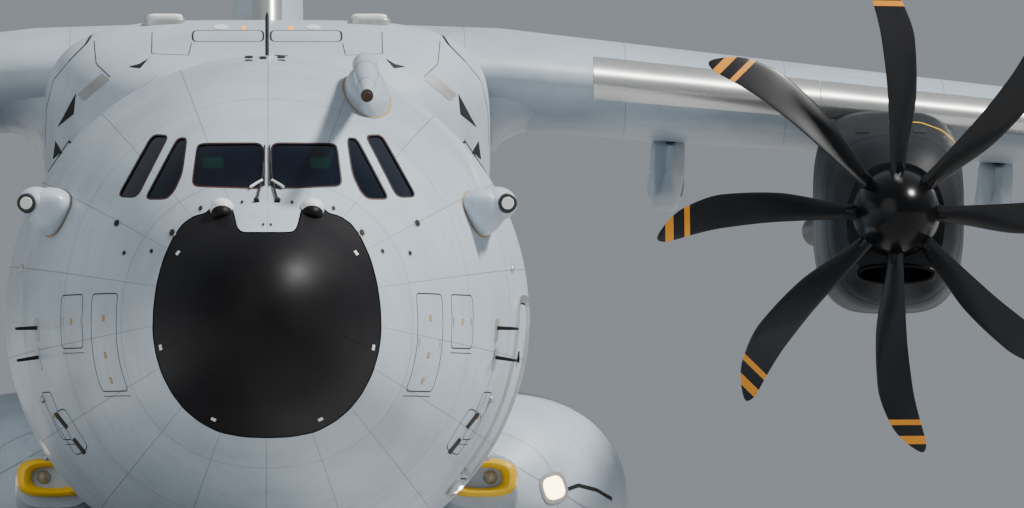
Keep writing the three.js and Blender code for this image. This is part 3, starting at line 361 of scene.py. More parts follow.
    def moved(self, by: np.ndarray) -> "Solid":
        """The solid moved by a model vector."""
        return Solid(self.points + by, self.quads, self.tris)

    def turned(self, way: np.ndarray, angle: float) -> "Solid":
        """The solid turned about an axis through the origin, by the axis-angle formula."""
        along = (self.points @ way)[:, None] * way * (1 - math.cos(angle))
        points = self.points * math.cos(angle) + np.cross(way, self.points) * math.sin(angle) + along
        return Solid(points, self.quads, self.tris)


def read(items: bpy.types.bpy_prop_collection, key: str, width: int = 1, kind: type = float) -> np.ndarray:
    """One property of all of a mesh's vertices, corners or faces."""
    flat = np.empty(len(items) * width, kind)
    items.foreach_get(key, flat)
    return flat.reshape(-1, width) if width > 1 else flat


class Blank:
    """A Blender object at the origin that solids are joined to, or cut from, until it is a piece."""

    def __init__(self, solid: Solid) -> None:
        """Make the object from a solid's faces."""
        mesh = bpy.data.meshes.new("blank")
        mesh.from_pydata(solid.points.tolist(), [], solid.quads.tolist() + solid.tris.tolist())
        mesh.validate()
        self.made = bpy.data.objects.new("blank", mesh)
        bpy.context.scene.collection.objects.link(self.made)

    def carve(self, how: str, tools: tuple[Solid, ...]) -> "Blank":
        """Apply one Boolean modifier for each of some closed solids, all at once."""
        helpers = [Blank(solid) for solid in tools]
        for helper in helpers:
            modifier = self.made.modifiers.new("carve", "BOOLEAN")
            modifier.operation, modifier.solver, modifier.object = how, "MANIFOLD", helper.made
        graph = bpy.context.evaluated_depsgraph_get()
        done = bpy.data.meshes.new_from_object(self.made.evaluated_get(graph))
        self.made.modifiers.clear()
        old, self.made.data = self.made.data, done
        bpy.data.meshes.remove(old)
        for helper in helpers:
            helper.remove()
        return self

    def cut(self, *tools: Solid) -> "Blank":
        """Cut solids out."""
        return self.carve("DIFFERENCE", tools)

    def join(self, *tools: Solid) -> "Blank":
        """Join solids on."""
        return self.carve("UNION", tools)

    def keep(self, *tools: Solid) -> "Blank":
        """Keep only what lies in each of the solids."""
        return self.carve("INTERSECT", tools)

    def remove(self) -> None:
        """Take the object and its mesh away."""
        mesh = self.made.data
        bpy.data.objects.remove(self.made)
        bpy.data.meshes.remove(mesh)

    def solid(self) -> Solid:
        """Its mesh as a solid of three-cornered faces; the object is removed."""
        mesh = self.made.data
        mesh.calc_loop_triangles()
        got = Solid(read(mesh.vertices, "co", 3), tris=read(mesh.loop_triangles, "vertices", 3, np.int32))
        self.remove()
        return got

    def follow(self, pod: Pod, band: float) -> "Blank":
        """Give each corner that lies on a body's surface that surface's own normal.

        Args:
            pod: the body whose equation gives the normals.
            band: how far from 1 the equation may be for a corner to count as on the surface.
        """
        mesh = self.made.data
        mesh.shade_smooth()
        points, corner = read(mesh.vertices, "co", 3), read(mesh.loops, "vertex_index", 1, int)
        starts, totals = (read(mesh.polygons, key, 1, int) for key in ("loop_start", "loop_total"))
        order = np.concatenate([np.arange(s, s + t) for s, t in zip(starts, totals)])
        by_loop = np.empty((len(corner), 3))
        by_loop[order] = np.repeat(read(mesh.polygons, "normal", 3), totals, axis=0)
        near, normal = np.abs(pod.level(points) - 1) < band, pod.normals(points)[corner]
        use = near[corner] & (np.einsum("ij,ij->i", normal, by_loop) > 0.86)
        mesh.normals_split_custom_set(np.where(use[:, None], normal, by_loop).tolist())
        return self


class Nodes:
    """A short way to write a material's node tree."""

    def __init__(self, name: str) -> None:
        """Start a material with an empty tree and its output."""
        self.material = bpy.data.materials.new(name)
        self.material.use_nodes = True
        self.tree = self.material.node_tree
        self.tree.nodes.clear()
        self.output = self.tree.nodes.new("ShaderNodeOutputMaterial")

    def node(self, kind: str, inputs: dict | None = None, **settings) -> bpy.types.Node:
        """Add a node, set its options, and set or link its inputs.

        Args:
            kind: the node's type without the word ShaderNode.
            inputs: an input's name or number to a value or to a socket.
            settings: the node's own options.

        Returns:
            The node.
        """
        made = self.tree.nodes.new("ShaderNode" + kind)
        for key, value in settings.items():
            setattr(made, key, value)
        for key, value in (inputs or {}).items():
            if isinstance(value, bpy.types.NodeSocket):
                self.tree.links.new(value, made.inputs[key])
            else:
                made.inputs[key].default_value = value
        return made

    def shader(self, inputs: dict) -> bpy.types.Material:
        """Finish the material with its surface shader."""
        shader = self.node("BsdfPrincipled", inputs)
        self.tree.links.new(shader.outputs[0], self.output.inputs[0])
        return self.material

    def math(self, operation: str, first, second=0.0, third=0.0):
        """The result of one arithmetic step on numbers or sockets."""
        return self.node("Math", {0: first, 1: second, 2: third}, operation=operation).outputs[0]

    def mix(self, share, first, second):
        """A colour between two colours."""
        return self.node("Mix", {0: share, 6: first, 7: second}, data_type="RGBA").outputs[2]

    def noise(self, at, scale: float, detail: float = 4.0, rough: float = 0.5):
        """Fractal noise at a place, from 0 to 1."""
        return self.node("TexNoise", {"Vector": at, "Scale": scale, "Detail": detail,
                                      "Roughness": rough}).outputs[0]

    def band(self, value, low: float, high: float):
        """0 below one value, 1 above another, and a straight line between."""
        return self.node("MapRange", {"Value": value, "From Min": low, "From Max": high}).outputs[0]

    def near(self, value, pitch: float, width: float, shift: float = 0.0):
        """1 within a width of each multiple of a pitch, and 0 away from them."""
        moved = self.math("ADD", value, pitch * 1000.5 - shift)
        away = self.math("ABSOLUTE", self.math("SUBTRACT", self.math("MODULO", moved, pitch), pitch / 2))
        return self.math("SUBTRACT", 1.0, self.band(away, width * 0.5, width))


class Lines(Enum):
    """How a skin's sheets are laid out, for the joints that its finish draws."""

    NONE = "none"
    HULL = "hull"
    WING = "wing"
    FIN = "fin"
    NACELLE = "nacelle"


def tone(red: float, green: float, blue: float) -> tuple[float, float, float, float]:
    """A linear colour from the amounts seen on a screen, each 0 to 255."""
    parts = [c / 255 for c in (red, green, blue)]
    return (*(p / 12.92 if p < 0.04045 else ((p + 0.055) / 1.055) ** 2.4 for p in parts), 1.0)


@dataclass(frozen=True)
class Finish:
    """A painted, metal or rubber surface.

    colour is its main colour and worn the colour that dirt and wear bring it towards, both as seen
    on a screen; soil is how much of that shows, grain the size of its fine bumps, depth their
    strength, and bend the refractive index, which sets how much of the surroundings it mirrors.
    """

    name: str
    colour: Spot
    worn: Spot
    rough: float = 0.45
    metal: float = 0.0
    soil: float = 0.3
    grain: float = 40.0
    depth: float = 0.02
    coat: float = 0.0
    lines: Lines = Lines.NONE
    glow: float = 0.0
    clear: float = 0.0
    bend: float = 1.45

    @cached_property
    def material(self) -> bpy.types.Material:
        """The material, built when first used: paint, stains, downward streaks, scuffs and sheet joints."""
        n = Nodes(self.name)
        at = n.node("TexCoord").outputs["Object"]
        split = n.node("SeparateXYZ", {0: at}).outputs
        cloud = n.noise(at, 1.3, 6.0, 0.62)
        fine = n.noise(at, self.grain, 5.0, 0.6)
        stretched = n.node("Mapping", {"Vector": at, "Scale": (9.0, 9.0, 0.9)}).outputs[0]
        streak = n.noise(stretched, 1.6, 5.0, 0.6)
        stains = n.math("MULTIPLY", n.band(cloud, 0.42, 0.72), self.soil)
        runs = n.math("MULTIPLY", n.band(streak, 0.52, 0.78), self.soil * 0.8)
        specks = n.math("MULTIPLY", n.band(fine, 0.58, 0.75), self.soil * 0.35)
        dirt = n.math("MAXIMUM", n.math("MAXIMUM", stains, runs), specks)
        colour = n.mix(dirt, tone(*self.colour), tone(*self.worn))
        height = n.math("MULTIPLY", fine, self.depth)
        joints = self.joints(n, split)
        if joints is not None:
            colour = n.mix(n.math("MULTIPLY", joints, 0.5), colour, tone(64, 70, 78))
            height = n.math("SUBTRACT", height, n.math("MULTIPLY", joints, 0.5))
        rough = n.math("ADD", self.rough, n.math("MULTIPLY", n.math("SUBTRACT", cloud, 0.5), 0.25))
        bump = n.node("Bump", {"Strength": 0.35, "Distance": 0.004, "Height": height})
        return n.shader({
            "Base Color": colour, "Roughness": rough, "Metallic": self.metal, "Coat Weight": self.coat,
            "Coat Roughness": 0.08, "Normal": bump.outputs[0], "Transmission Weight": self.clear,
            "Emission Color": tone(*self.colour), "Emission Strength": self.glow, "IOR": self.bend,
        })

    def joints(self, n: Nodes, split):
        """The joints between sheets, 1 on a joint: rings and lines for a hull, ribs and spars for a wing."""
        along = split["Y"]
        if self.lines is Lines.NONE:
            return None
        if self.lines is Lines.HULL:
            turn = n.math("ARCTAN2", n.math("SUBTRACT", split["Z"], 1.68), split["X"])
            rings, lines = n.near(along, 0.85, 0.004), n.near(turn, math.radians(20), 0.0032, 0.17)
            return n.math("MAXIMUM", n.math("MAXIMUM", rings, lines), self.rivets(n, along, turn))
        if self.lines is Lines.NACELLE:
            return n.near(along, 0.61, 0.003, 0.1)
        if self.lines is Lines.FIN:
            swept = n.math("SUBTRACT", along, n.math("MULTIPLY", split["Z"], 0.5))
            return n.math("MAXIMUM", n.near(split["Z"], 0.72, 0.003), n.near(swept, 0.83, 0.003))
        out = n.math("ABSOLUTE", split["X"])
        swept = n.math("SUBTRACT", along, n.math("MULTIPLY", out, 0.22))
        return n.math("MAXIMUM", n.near(out, 0.9, 0.003, 0.2), n.near(swept, 0.78, 0.003, 0.3))

    def rivets(self, n: Nodes, along, turn):
        """Rows of small fastener heads on both sides of each ring joint."""
        rows = n.math("MAXIMUM", n.near(along, 0.85, 0.004, 0.012), n.near(along, 0.85, 0.004, -0.012))
        return n.math("MULTIPLY", n.math("MULTIPLY", rows, n.near(turn, math.radians(1.1), 0.0026)), 0.7)


GREY, WING_GREY, GRIME = (184, 197, 208), (176, 189, 200), (96, 101, 104)
SKIN = Finish("hull_paint", GREY, GRIME, 0.42, soil=0.32, coat=0.12, lines=Lines.HULL)
PLAIN_SKIN = Finish("plain_paint", GREY, GRIME, 0.42, coat=0.12)
WING_SKIN = Finish("wing_paint", WING_GREY, GRIME, 0.42, soil=0.34, coat=0.1, lines=Lines.WING)
FIN_SKIN = Finish("fin_paint", WING_GREY, GRIME, 0.42, coat=0.1, lines=Lines.FIN)
NACELLE_SKIN = Finish(
    "nacelle_paint", (24, 26, 30), (16, 16, 18), 0.46, soil=0.5, lines=Lines.NACELLE, bend=1.35)
RADOME = Finish("radome_paint", (15, 14, 17), (62, 58, 57), 0.5, soil=0.12, grain=90.0, depth=0.06, bend=1.24)
EDGE_METAL = Finish("bare_metal", (226, 226, 222), (150, 148, 144), 0.27, 0.85)
GLASS = Finish("window_glass", (38, 52, 84), (8, 12, 24), 0.02, soil=0.12, depth=0.0, clear=0.9, bend=1.3)
SEAL = Finish("window_seal", (30, 25, 26), (104, 50, 34), 0.55, soil=0.6, grain=14.0)
BLADE = Finish("blade_composite", (20, 21, 24), (62, 60, 58), 0.36, soil=0.18, coat=0.08, bend=1.35)
SPINNER = Finish("spinner_paint", (6, 6, 8), (34, 33, 34), 0.24, soil=0.12, bend=1.3)
STRIPE = Finish("tip_stripe", (236, 150, 24), (150, 96, 30), 0.45, soil=0.2)
YELLOW = Finish("yellow_paint", (255, 202, 4), (170, 130, 20), 0.4, soil=0.12, coat=0.2)
TYRE = Finish("tyre_rubber", (34, 34, 35), (88, 84, 78), 0.82, soil=0.4, grain=60.0, depth=0.15)
HUB = Finish("wheel_metal", (196, 198, 196), (92, 86, 78), 0.38, 0.55, 0.45)
GEAR = Finish("gear_paint", (214, 217, 216), (122, 114, 102), 0.4, soil=0.4, coat=0.15)
CHROME = Finish("bright_rod", (222, 224, 226), (170, 170, 170), 0.12, 1.0, 0.1)
INSIDE = Finish("inside_paint", (128, 136, 124), (84, 84, 76), 0.62)
BAY = Finish("bay_paint", (190, 192, 184), (104, 98, 88), 0.55, soil=0.45)
FLOOR = Finish("floor_metal", (120, 122, 122), (74, 72, 68), 0.42, 0.6, 0.5)
CUSHION = Finish("seat_cloth", (52, 58, 60), (30, 32, 34), 0.9, grain=160.0, depth=0.3)
PANEL = Finish("panel_paint", (44, 47, 50), (24, 25, 27), 0.6, soil=0.2)
# Dark parts, and also painted shade where it stands in openings: the sponson intakes' throats, the fairing's
# inlets and the cowling slots.
DARK = Finish("dark_gap", (16, 16, 18), (30, 30, 30), 0.7, soil=0.2)
PALE = Finish("pale_paint", (232, 234, 232), (168, 164, 156), 0.45, soil=0.25)
TAN = Finish("tan_sealant", (176, 148, 108), (120, 104, 84), 0.6)
NOZZLE = Finish("nozzle_metal", (76, 62, 54), (34, 30, 28), 0.42, 0.6, 0.5)
LAMP = Finish("lamp_glass", (255, 222, 170), (255, 236, 200), 0.1, soil=0.0, depth=0.0, glow=9.0)
SCREEN = Finish("panel_screen", (20, 40, 34), (10, 16, 20), 0.15, soil=0.1, depth=0.0, glow=0.25)
# Painted glint: the head-up glass glows green in place of the green reflections on the head-up glasses; it is
# not a lamp.
HEAD_UP_GLINT = Finish("head_up_glass", (40, 190, 90), (40, 90, 60), 0.05, soil=0.0, depth=0.0, clear=0.5, glow=1.0)
RED_LAMP = Finish("red_lamp", (190, 20, 16), (90, 10, 10), 0.12, soil=0.1, depth=0.0, coat=0.6, glow=0.4)
GREEN_LAMP = Finish("green_lamp", (16, 150, 70), (10, 80, 40), 0.12, soil=0.1, depth=0.0, coat=0.6, glow=0.4)
AMBER = Finish("amber_lamp", (255, 150, 40), (240, 160, 60), 0.2, soil=0.0, depth=0.0, glow=1.5)

COMPOSITE = "composite_skin"
TRIM = "interior_trim"
STEEL = "gear_steel"
GLAZING = "window_glass"
FLOOR_SLOT = "floor_metal"


def piece(name: str, shape: Solid | Blank, finish: Finish, slot: str = "skin", body: str = ROOT,
          node: str | None = None, degrees: float | None = 32.0) -> bpy.types.Object:
    """A finished piece on its body.

    Args:
        name: the piece's name.
        shape: what it is made of.
        finish: its surface.
        slot: a material slot's name; not used.
        body: the body it rides on.
        node: the frame's node that it stands for, if any.
        degrees: the angle from which an edge is creased, or None to leave the shading alone.

    Returns:
        The object.
    """
    made = (Blank(shape) if isinstance(shape, Solid) else shape).made
    made.name = made.data.name = name
    made.data.materials.clear()
    made.data.materials.append(finish.material)
    if degrees is not None:
        made.data.shade_smooth()
        made.data.set_sharp_from_angle(angle=math.radians(degrees))
    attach(made, body)
    if node:
        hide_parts(node)
    LOG.info("made %s: %d faces", name, len(made.data.polygons))
    return made


def pair(name: str, parts: Solid | list[Solid], finish: Finish, slot: str = "skin", degrees: float = 32.0,
         node: str | None = None) -> None:
    """Solids as one piece on each side, with the side's word after its name and its node's."""
    solid = Solid.joined(parts) if isinstance(parts, list) else parts
    for side in BOTH:
        stands_for = f"{node}_{side.word}" if node else None
        piece(f"{name}_{side.word}", solid.on(side), finish, slot, node=stands_for, degrees=degrees)


def middles(made: bpy.types.Object) -> np.ndarray:
    """The model points in the middle of an object's faces."""
    return read(made.data.polygons, "center", 3)


def repaint(made: bpy.types.Object, finish: Finish, chosen: np.ndarray) -> None:
    """Give an object's chosen faces a second finish."""
    made.data.materials.append(finish.material)
    made.data.polygons.foreach_set("material_index", chosen.astype(np.int32))


class Hull(Pod):
    """The fuselage: superellipse sections whose tip follows a square root, so that it is round."""

    TIP_AT = 0.15

    def sizes(self, station: np.ndarray) -> tuple[np.ndarray, ...]:
        """The table's sizes; ahead of TIP_AT each radius shrinks with the root of the station."""
        s = np.asarray(station, float)
        x, half, top, bottom, middle, power = super().sizes(np.maximum(s, self.TIP_AT))
        share = np.sqrt(np.clip(s, 1e-6, self.TIP_AT) / self.TIP_AT)
        high, low = middle + (top - middle) * share, middle - (middle - bottom) * share
        return x, half * share, high, low, middle, power


HULL = Hull((
    (0.02, 0.15, 3.40, 3.12, 3.26, 2.0), (0.15, 0.41, 3.68, 2.85, 3.25, 2.0),
    (0.4, 0.67, 3.92, 2.575, 3.235, 2.05), (0.8, 0.925, 4.13, 2.275, 3.21, 2.1),
    (1.4, 1.2, 4.37, 1.99, 3.19, 2.15), (2.0, 1.46, 4.62, 1.745, 3.19, 2.2),
    (2.75, 1.755, 5.10, 1.47, 3.20, 2.2), (3.3, 1.955, 5.37, 1.29, 3.22, 2.15),
    (4.4, 2.3, 5.74, 0.985, 3.27, 2.1), (5.8, 2.62, 6.02, 0.71, 3.33, 2.03),
    (7.5, 2.8, 6.13, 0.575, 3.36, 2.0), (8.5, 2.82, 6.14, 0.56, 3.36, 2.0),
    (24.0, 2.82, 6.14, 0.56, 3.36, 2.0), (26.4, 2.8, 6.14, 0.85, 3.45, 2.0),
    (29.0, 2.7, 6.14, 1.5, 3.75, 2.0), (31.8, 2.44, 6.14, 2.27, 4.15, 2.0),
    (34.5, 2.05, 6.13, 2.99, 4.5, 2.0), (37.2, 1.56, 6.08, 3.72, 4.85, 2.0),
    (40.0, 0.95, 5.95, 4.47, 5.18, 2.0), (42.0, 0.43, 5.76, 4.96, 5.35, 2.0),
    (42.6, 0.23, 5.65, 5.13, 5.39, 2.0),
))
WALL = 0.11
NOSE_JOINT = 8.0
AFT_JOINT = 26.4
FLOOR_TOP = 1.55
DECK_TOP = 3.4
LAYERS = np.array([1.0, 0.6, 0.25])[:, None, None]


def spaced(marks: list[float], pitch: float) -> np.ndarray:
    """Stations between marks, no farther apart than a pitch, with each mark among them."""
    parts = [np.linspace(a, b, max(math.ceil((b - a) / pitch), 1), endpoint=False)
             for a, b in zip(marks[:-1], marks[1:])]
    return np.append(np.concatenate(parts), marks[-1])


def hull(start: float, end: float, inset_by: float = 0.0, sides: int = 192, pitch: float = 0.12) -> Solid:
    """The part of the hull between two stations as a closed solid.

    Args:
        start: first station; the tip's stations crowd towards 0 as squares do.
        end: last station.
        inset_by: how far inside the skin.
        sides: points round a section.
        pitch: the longest step between sections.
    """
    if start > 0:
        return HULL.mesh(spaced([start, end], pitch), sides, inset_by)
    near = 0.3 * np.linspace(0.01, 1, 26) ** 2
    return HULL.mesh(np.append(near[:-1], spaced([0.3, 2.2, end], pitch / 2)), sides, inset_by)


def rounded(outline: list[Span], radius: float, steps: int = 5) -> np.ndarray:
    """An outline with a quadratic curve at each corner, from half a radius before to half a radius after.

    Args:
        outline: pairs of coordinates round a closed shape.
        radius: how far along each side a curve starts, or a third of the side where that is less.
        steps: points on a curve.
    """
    points = np.asarray(outline, float)
    before, after = np.roll(points, 1, axis=0) - points, np.roll(points, -1, axis=0) - points
    sizes = [np.linalg.norm(way, axis=1, keepdims=True) for way in (before, after)]
    start, end = (points + way / size * np.minimum(radius, size / 3)
                  for way, size in zip((before, after), sizes))
    t = np.linspace(0, 1, steps)[None, :, None]
    curve = (1 - t) ** 2 * start[:, None] + 2 * t * (1 - t) * points[:, None] + t**2 * end[:, None]
    return curve.reshape(-1, 2)


def inset(outline: np.ndarray, distance: float) -> np.ndarray:
    """An outline moved inwards by a distance, or outwards by a negative one, with mitred corners."""
    points = np.asarray(outline, float)
    following = np.roll(points, -1, axis=0)
    turn = np.sign((points[:, 0] * following[:, 1] - points[:, 1] * following[:, 0]).sum())
    run = following - points
    run /= np.maximum(np.linalg.norm(run, axis=1, keepdims=True), 1e-9)
    after = turn * np.stack([-run[:, 1], run[:, 0]], axis=1)
    before = np.roll(after, 1, axis=0)
    turned = np.maximum(1 + (before * after).sum(axis=1, keepdims=True), 0.3)
    return points + distance / turned * (before + after)


def across(outline: np.ndarray, station: Span) -> Solid:
    """A prism along the aeroplane from an outline of x and z."""
    return Solid.prism(outline, 1, station)


def sideways(outline: np.ndarray, x: Span) -> Solid:
    """A prism across the aeroplane from an outline of station and z."""
    return Solid.prism(outline, 0, x)


def cylinder(start: Spot, end: Spot, radius: float, end_radius: float | None = None,
             sides: int = 40) -> Solid:
    """A rod or cone between two full-size points of x, station and z."""
    a, b = place(*start), place(*end)
    last = radius if end_radius is None else end_radius
    return Solid.lathe([(0, radius * SCALE), (float(np.linalg.norm(b - a)), last * SCALE)], a, b - a, sides)


def cross_rod(x: float, half: float, station: float, z: float, radius: float, sides: int = 40) -> Solid:
    """A rod across the aeroplane, half as long to either side of an x."""
    return cylinder((x - half, station, z), (x + half, station, z), radius, sides=sides)


def ellipsoid(centre: Spot, radii: Spot, sides: int = 48) -> Solid:
    """An ellipsoid from its full-size centre and radii."""
    u, t = np.linspace(-np.pi / 2, np.pi / 2, sides // 2 + 1)[1:-1, None], turns(sides)
    shape = np.stack(np.broadcast_arrays(np.cos(u) * np.cos(t), np.sin(u), np.cos(u) * np.sin(t)), axis=-1)
    return Solid.through(place(*centre) + shape * np.array(radii) * SCALE)


def lump(centre: Spot, radii: Spot, power: float = 6.0) -> Solid:
    """A box with well rounded edges: a superellipsoid."""
    up, turn = np.linspace(-np.pi / 2, np.pi / 2, 25)[1:-1, None], turns(64)
    ease, rise = bent(np.cos(up), power), bent(np.sin(up), power)
    shape = np.broadcast_arrays(ease * bent(np.cos(turn), power), ease * bent(np.sin(turn), power), rise)
    return Solid.through(place(*centre) + np.stack(shape, axis=-1) * np.array(radii) * SCALE)


def seen(pod: Pod, x: np.ndarray, z: np.ndarray, reach: Span) -> np.ndarray:
    """Model points where lines from straight ahead at x and z meet a body, found by halving.

    Args:
        pod: the body.
        x: full-size x.
        z: full-size height.
        reach: a station ahead of the surface and one inside the body.
    """
    x, z = np.broadcast_arrays(np.asarray(x, float), np.asarray(z, float))
    near, far = np.full(x.shape, reach[0]), np.full(x.shape, reach[1])
    for _ in range(36):
        middle = (near + far) / 2
        inside = pod.level(place(x, middle, z)) < 1
        far = np.where(inside, middle, far)
        near = np.where(inside, near, middle)
    return place(x, (near + far) / 2, z)


def finer(path: np.ndarray, pitch: float) -> np.ndarray:
    """A path with points added so that none is farther from the next than a pitch."""
    path = np.asarray(path, float)
    run = np.append(0, np.cumsum(np.linalg.norm(np.diff(path, axis=0), axis=1)))
    at = np.linspace(0, run[-1], max(int(run[-1] / pitch) + 2, 3))
    return np.stack([np.interp(at, run, column) for column in path.T], axis=1)


def ribbon(pod: Pod, points: np.ndarray, width: float, lift: float = 0.002, thick: float = 0.002) -> Solid:
    """A band along model points that lie on a body, square to its normals.

    Args:
        pod: the body.
        points: the band's middle line.
        width: its full width, in model metres.
        lift: how far its top is over the surface.
        thick: how deep it is.
    """
    normal = pod.normals(points)
    beside = unit(np.cross(normal, np.gradient(points, axis=0)))
    top = points + normal * lift + np.array([-0.5, 0.0, 0.5])[:, None, None] * width * beside
    return Solid.through(np.concatenate([top, (top - normal * thick)[::-1]], axis=0).transpose(1, 0, 2))


def plated(pod: Pod, points: np.ndarray, lift: float, thick: float) -> Solid:
    """A plate through loops of points on a body, from the outermost to the innermost."""
    normal = pod.normals(points)
    return Solid.through(np.concatenate([(points + normal * (lift - thick))[::-1], points + normal * lift],
                                        axis=0))


def plaque(pod: Pod, centre: Span, size: Span, reach: Span,
           lift: float = 0.003, thick: float = 0.004, lean: float = 0.0, power: float = 8.0) -> Solid:
    """A small plate on a body, placed by where it is seen from ahead.

    Args:
        pod: the body.
        centre: x and z of its middle, full size.
        size: its width and height, full size.
        reach: stations ahead of and inside the surface.
        lift: how far its face stands over the surface, in model metres.
        thick: how thick it is.
        lean: how far it is turned, in radians.
        power: 2 for an ellipse, and more for a squarer plate.
    """
    edge = np.stack([bent(f(turns(40)), power) for f in (np.cos, np.sin)], axis=-1)
    loops = LAYERS * edge[None] * np.array(size) / 2
    x = centre[0] + loops[..., 0] * math.cos(lean) - loops[..., 1] * math.sin(lean)
    z = centre[1] + loops[..., 0] * math.sin(lean) + loops[..., 1] * math.cos(lean)
    return plated(pod, seen(pod, x, z, reach), lift, thick)


def patch(pod: Pod, outline: np.ndarray, reach: Span, lift: float = 0.003, thick: float = 0.004) -> Solid:
    """A small plate on a body whose outline is given as x and z, as it is seen from ahead."""
    corners = np.asarray(outline, float)
    edge = finer(np.vstack([corners, corners[:1]]), 0.03)[:-1]
    loops = corners.mean(axis=0) + LAYERS * (edge - corners.mean(axis=0))
    return plated(pod, seen(pod, loops[..., 0], loops[..., 1], reach), lift, thick)


def flank_patch(outline: np.ndarray, lift: float = 0.003, thick: float = 0.004) -> Solid:
    """A small plate on the hull's port flank whose outline is given as station and z."""
    edge = np.asarray(outline, float)
    loops = edge.mean(axis=0) + LAYERS * (edge - edge.mean(axis=0))
    return plated(HULL, HULL.side_point(loops[..., 0], loops[..., 1]), lift, thick)


def frame_of(outline: list[Span], radius: float = 0.06) -> np.ndarray:
    """A closed outline with rounded corners as a path whose ends overlap a little."""
    edge = rounded(outline, radius)
    return finer(np.vstack([edge, edge[:2]]), 0.03)


def box_outline(x: float, z: float, width: float, height: float, lean: float = 0.0) -> np.ndarray:
    """The corners of a rectangle round a middle, turned by an angle in radians."""
    corner = np.array([(-1, -1), (1, -1), (1, 1), (-1, 1)]) * [width / 2, height / 2]
    return corner @ [(math.cos(lean), math.sin(lean)), (-math.sin(lean), math.cos(lean))] + [x, z]


def bead_of(grown: Solid, stations: Span) -> Blank:
    """A bead of sealant round a blister: what a slightly larger blister takes of a skin over the hull."""
    start, end = stations
    bead = Blank(grown).keep(hull(start, end, -0.008, 192, 0.1))
    return bead.cut(hull(start - 0.2, end + 0.2, 0.02, 192, 0.1))


@dataclass
class Windows:
    """The six panes of the flight deck, each glass in a ring of sealant.

    panes holds each node's name and its outline from ahead on the port side, as x and z.
    """

    panes: tuple[tuple[str, tuple[Span, ...]], ...] = (
        ("windscreen", ((0.035, 4.585), (0.795, 4.618), (0.74, 5.06), (0.69, 5.095), (0.035, 5.095))),
        ("side_window_front", (
            (1.045, 4.485), (1.29, 4.49), (0.945, 5.16), (0.83, 5.16), (0.88, 4.76), (0.962, 4.574))),
        ("side_window_rear", ((1.355, 4.51), (1.578, 4.53), (1.21, 5.21), (1.02, 5.19))),
    )
    reach: Span = (1.5, 5.2)
    corner: float = 0.09
    seal: float = 0.017
    seal_depth: float = 0.06
    depth: float = 0.012
    thick: float = 0.03

    def outlines(self) -> list[tuple[str, np.ndarray]]:
        """Each pane's node and its rounded outline, on the left and then on the right."""
        return [(f"{node}_{side.word}", rounded(outline, self.corner) * [side.value, 1])
                for node, outline in self.panes for side in BOTH]

    def holes(self) -> list[Solid]:
        """The prisms that open the hull for all six panes."""
        return [across(outline, self.reach) for _, outline in self.outlines()]

    def shell(self, outline: np.ndarray, outer: float, inner: float, *hollow: np.ndarray) -> Blank:
        """The part of the hull's wall between two depths that lies in an outline, less a hollow."""
        start, end = self.reach
        made = Blank(hull(start - 0.3, end, outer, pitch=0.05)).keep(across(outline, self.reach))
        made.cut(hull(start - 0.6, end + 0.3, inner, pitch=0.05), *(across(h, self.reach) for h in hollow))
        return made.follow(HULL, 0.06)

    def build(self) -> None:
        """Make each pane's glass and its sealant on both sides."""
        for name, outline in self.outlines():
            edge = inset(outline, self.seal)
            bead = self.shell(inset(outline, 0.002), 0.0, self.seal_depth, edge)
            node, side = name.rsplit("_", 1)
            piece(f"{node}_seal_{side}", bead, SEAL, degrees=None)
            glass = self.shell(inset(edge, 0.001), self.depth, self.depth + self.thick)
            piece(f"{name}_glass", glass, GLASS, GLAZING, node=name, degrees=None)


@dataclass
class Radome:
    """The dark nose cone, with its notched joint and its lightning strips."""

    edge: tuple[Span, ...] = (
        (0.26, 4.125), (0.31, 4.18), (0.35, 4.37), (0.4, 4.42), (0.56, 4.42), (0.64, 4.34), (0.76, 4.31),
        (0.88, 4.23), (0.985, 4.08), (1.085, 3.85), (1.15, 3.6), (1.185, 3.34), (1.192, 3.08), (1.16, 2.86),
        (1.095, 2.65), (0.99, 2.45), (0.865, 2.29), (0.71, 2.16), (0.505, 2.05), (0.25, 2.0), (0.0, 1.99),
    )
    back: float = 1.9
    gap: float = 0.012
    strips: tuple[Spot, ...] = ((-12, 0.55, 0.9), (-62, 0.5, 0.9), (38, 0.7, 0.93))

    def prism(self, gap: float) -> Solid:
        """What lies inside the joint, seen from ahead, less a gap all round."""
        port = np.array(self.edge)
        outline = rounded(np.vstack([port, port[-2::-1] * [-1, 1]]), 0.09, 6)
        return across(inset(outline, gap) if gap else outline, (-0.2, self.back - gap))

    def build(self) -> None:
        """Make the cone, and on each strip's line a thin strip with a pale square at its end."""
        cone = Blank(hull(0.0, 2.3, 0.0, 256, 0.07)).keep(self.prism(self.gap)).follow(HULL, 0.05)
        piece("nose_cone", cone, RADOME, "radome_paint", node="radome", degrees=None)
        edges = np.array([-1, 1])[:, None]
        for angle, low, high in self.strips:
            turn = math.radians(angle)
            stations = 1.45 * np.linspace(low, high, 24) ** 1.6
            strip = HULL.points(turn + edges * 0.006, stations[None, :], -0.004)
            last = np.linspace(-0.03, 0.03, 3)[None, :] + stations[-1]
            end = HULL.points(turn + edges * 0.024, last, -0.006)
            for side in BOTH:
                name = f"lightning_strip_{side.word}_{angle}"
                piece(name, Solid.sheet(strip, 0.004).on(side), RADOME, "radome_paint")
                piece(f"{name}_end", Solid.sheet(end, 0.004).on(side), PALE, "radome_paint")


def skin_piece(name: str, made: Blank, node: str, body: str = ROOT) -> None:
    """Smooth a cut shell, paint its outside, and give all the rest the inside's finish."""
    shell = piece(name, made.follow(HULL, 0.02), SKIN, "skin", body, node, None)
    repaint(shell, INSIDE, np.abs(HULL.level(middles(shell)) - 1) > 0.02)


